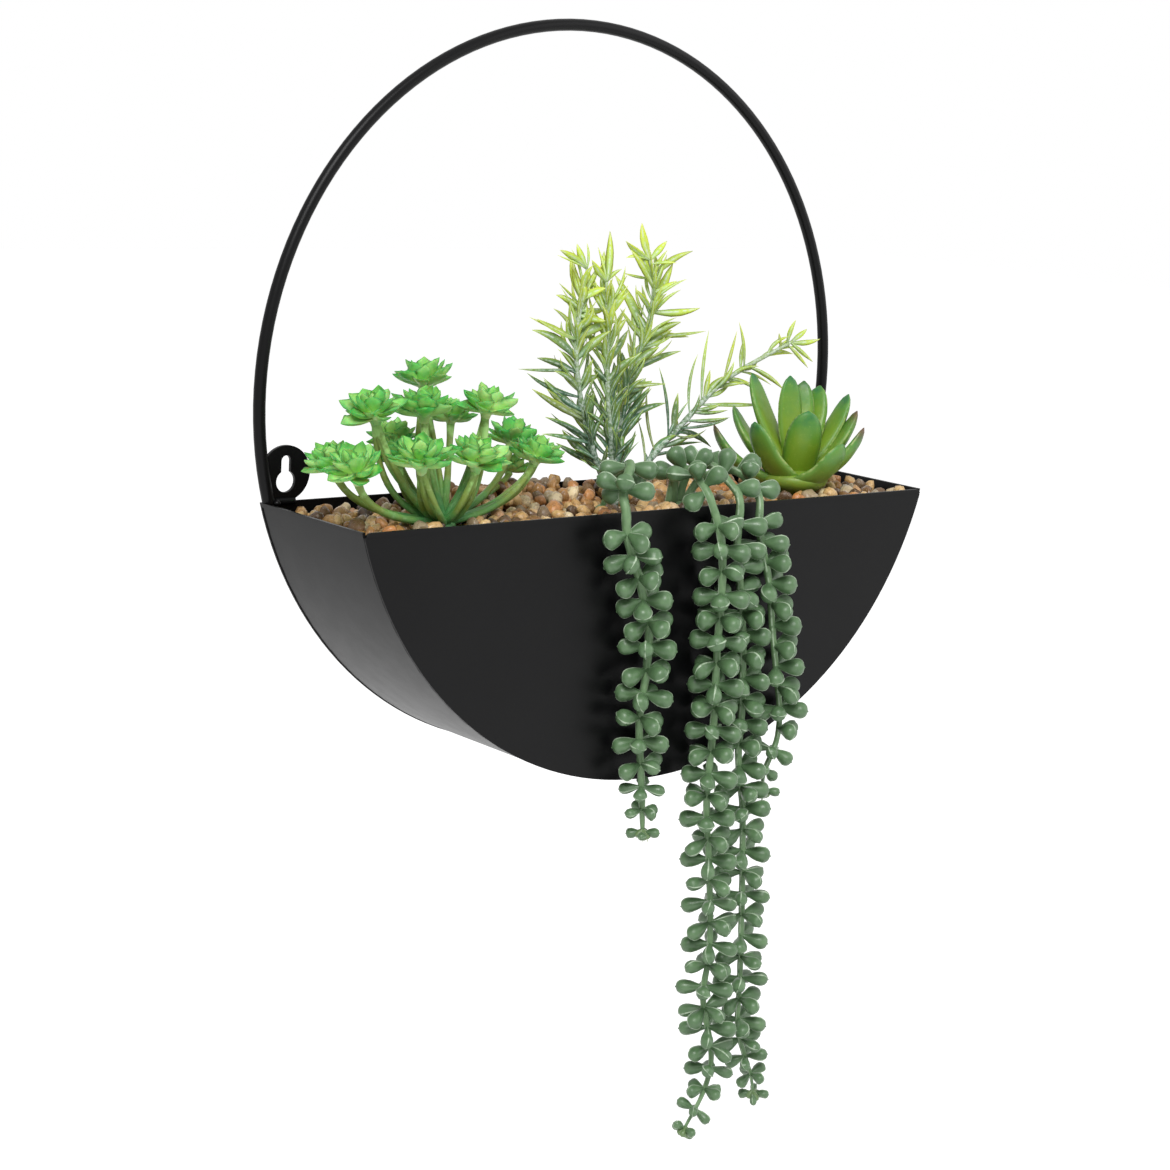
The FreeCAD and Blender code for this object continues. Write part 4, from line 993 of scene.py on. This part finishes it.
def add_pearl(build, foot, axis, length, radius, rng, young=0.0):
    """Drop-shaped leaf with a mould seam round it and a small point at its end."""
    t, shares = PEARL_OUTLINE.T
    spread = 0.3 if rng.random() < 0.75 else 1.4
    parting = PARTING + np.array([rng.uniform(-spread, spread) for _ in range(3)])
    side = unit(np.cross(axis, parting))
    angles = np.radians(PEARL_RING)
    seam = np.isin(PEARL_RING, SEAM_CORNERS).astype(float)
    flash = 0.5 * profile(t, (0, 0.2), (0.3, 1), (0.97, 1), (1, 0.2))
    flash *= np.array([rng.uniform(0.6, 1.0) for _ in t])
    reach = radius * shares[:, None] * (1 + 0.03 * np.cos(2 * angles)) + seam * flash[:, None]
    points = ring_points(foot + np.outer(t * length, axis), side, np.cross(axis, side), angles, reach)
    build.add(points, ring_faces(len(t), len(angles)), along=np.repeat(np.clip(t, 0, 1), len(angles)),
              seam=np.tile(seam, len(t)), tone=rng.random(), young=young)


def hang_pearls(build, node, rng):
    """A pearl for each leaf solid of a node, slimmer towards the strands' ends."""
    for points in solids_of(node):
        foot, axis, length = pearl_axis(points)
        radius = PEARL_RADIUS * profile(foot[2], *SLIM_BY_HEIGHT) * length / PEARL_LENGTH
        add_pearl(build, foot, axis, length * rng.uniform(0.9, 0.97), radius * rng.uniform(0.9, 1.03), rng)


def add_strand_end(build, foot, down, rng):
    """Five small young leaves and two fibres at the end of a strand."""
    for k in range(5):
        aim = unit(down + np.array((math.cos(1.4 * k), math.sin(1.4 * k), 0.0)) * rng.uniform(0.3, 0.8))
        add_pearl(build, foot, aim, rng.uniform(4.0, 5.4), 1.4, rng, young=0.5)
    for _ in range(2):
        aim = unit(down + np.array((rng.uniform(-0.6, 0.6), rng.uniform(-0.6, 0.2), 0.0)))
        tip = foot + aim * rng.uniform(4.0, 6.0)
        fibre = bent_spine(foot, tip, [rng.uniform(-1, 1) for _ in range(3)], 6)
        add_tube(build, fibre, np.full(len(fibre), 0.16), 6, young=1.0)


def dress_strand(n, plant, base, root, trail):
    """Stem and pearls of one strand, which bends at the fold line in front of the rim."""
    strand = "strand_%d" % (n + 1)
    rear = np.array([(base[0] + right, -out, RIM + height) for right, out, height in root])
    front = np.array([(base[0] + right, FRONT - out, RIM + height) for right, out, height in trail])
    line = smooth_path(np.vstack((rear, front)), 2.2)
    run = lengths_along(line)
    radii = profile(run / run[-1], (0, 1.75), (0.3, 1.7), (0.7, 1.4), (0.93, 1.2), (1, 0.6))
    stem = Build()
    add_tube(stem, line, radii * (1 + 0.05 * np.sin(run / 1.4)), 14, 0.28)
    piece = stem.dress("strand_stem_%d" % (n + 1), "pearl_stem")
    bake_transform(piece)
    for end, seed, body in (("root", 70, plant), ("strand", 80, strand)):
        node = "%s_leaves_%d" % (end, n + 1)
        leaves = Build()
        rng = random.Random(seed + n)
        hang_pearls(leaves, node, rng)
        if end == "strand":
            down = unit(front[-1] - front[-2])
            add_strand_end(leaves, front[-1] - down * 1.5, down, rng)
        leaves.dress(node, "pearl_leaf", body)


def dress_trailing():
    for n, (root, trail) in enumerate(zip(ROOT_ROUTES, TRAIL_ROUTES)):
        plant, base = ("trailing_right", RIGHT_BASE) if n else ("trailing_left", LEFT_BASE)
        dress_strand(n, plant, base, root, trail)
    for side, base in (("left", LEFT_BASE), ("right", RIGHT_BASE)):
        build = Build()
        add_stake(build, base, 4.0)
        if side == "right":
            stub = bent_spine(seen(*STUB_FOOT), seen(*STUB_TIP), (-0.6, 0.0, 0.6), 8)
            add_tube(build, stub, (1.7, 1.6, 1.5, 1.4, 1.3, 1.1, 0.8, 0.25), 10, 0.2)
        build.make("dressed_trail_stake_" + side, "pearl_stem", "trailing_" + side, ("trail_roots_" + side,))


# Studio

WHITE = (1.0, 1.0, 1.0, 1.0)
FLOOR_COLOUR = (0.86, 0.86, 0.86, 1.0)
FLOOR_LEVEL, FLOOR_HALF = -0.42, 6.0
FLOOR_GLOW = 0.62
WORLD_LIGHT = 0.4


def add_light(name, place, aim, size, power):
    data = bpy.data.lights.new(name, "AREA")
    data.size = size
    data.energy = power
    light = bpy.data.objects.new(name, data)
    light.location = place
    light.rotation_euler = (Vector(aim) - Vector(place)).to_track_quat("-Z", "Y").to_euler()
    scene.collection.objects.link(light)


def background_strength(nodes, other, plain):
    """The plain strength for rays that should meet a plain background, the other one for the rest."""
    rays = nodes.node("LightPath").outputs
    total = rays["Is Camera Ray"]
    for name in ("Is Glossy Ray", "Is Transmission Ray"):
        total = nodes.math("MAXIMUM", total, rays[name])
    return nodes.node("MapRange", {"Value": total, "To Min": other, "To Max": plain}).outputs["Result"]


def add_world():
    world = bpy.data.worlds.new("studio")
    scene.world = world
    nodes = Nodes(world)
    back = nodes.tree.nodes["Background"]
    back.inputs["Color"].default_value = WHITE
    nodes.tree.links.new(background_strength(nodes, WORLD_LIGHT, 1.0), back.inputs["Strength"])


def add_floor():
    mesh = bpy.data.meshes.new("floor")
    corners = [(x * FLOOR_HALF, y * FLOOR_HALF, FLOOR_LEVEL) for x, y in ((-1, -1), (1, -1), (1, 1), (-1, 1))]
    mesh.from_pydata(corners, [], [(0, 1, 2, 3)])
    floor = bpy.data.objects.new("floor", mesh)
    scene.collection.objects.link(floor)
    look = Look("floor")
    look.set(Base_Color=FLOOR_COLOUR, Roughness=0.9, Emission_Color=WHITE)
    glow = background_strength(look, 0.0, FLOOR_GLOW)
    look.tree.links.new(glow, look.shader.inputs["Emission Strength"])
    mesh.materials.append(look.material)


dress_metal()
add_seams()
dress_insert()
dress_rosettes()
dress_agave()
dress_sprig()
dress_trailing()
add_camera()
add_world()
add_floor()
add_light("key", (-1.0, -1.3, 1.6), (0.0, -0.04, 0.0), 1.1, 46.0)
add_light("fill", (1.5, -1.2, 0.7), (0.0, -0.04, -0.05), 1.6, 10.0)
scene.view_settings.view_transform = "Standard"
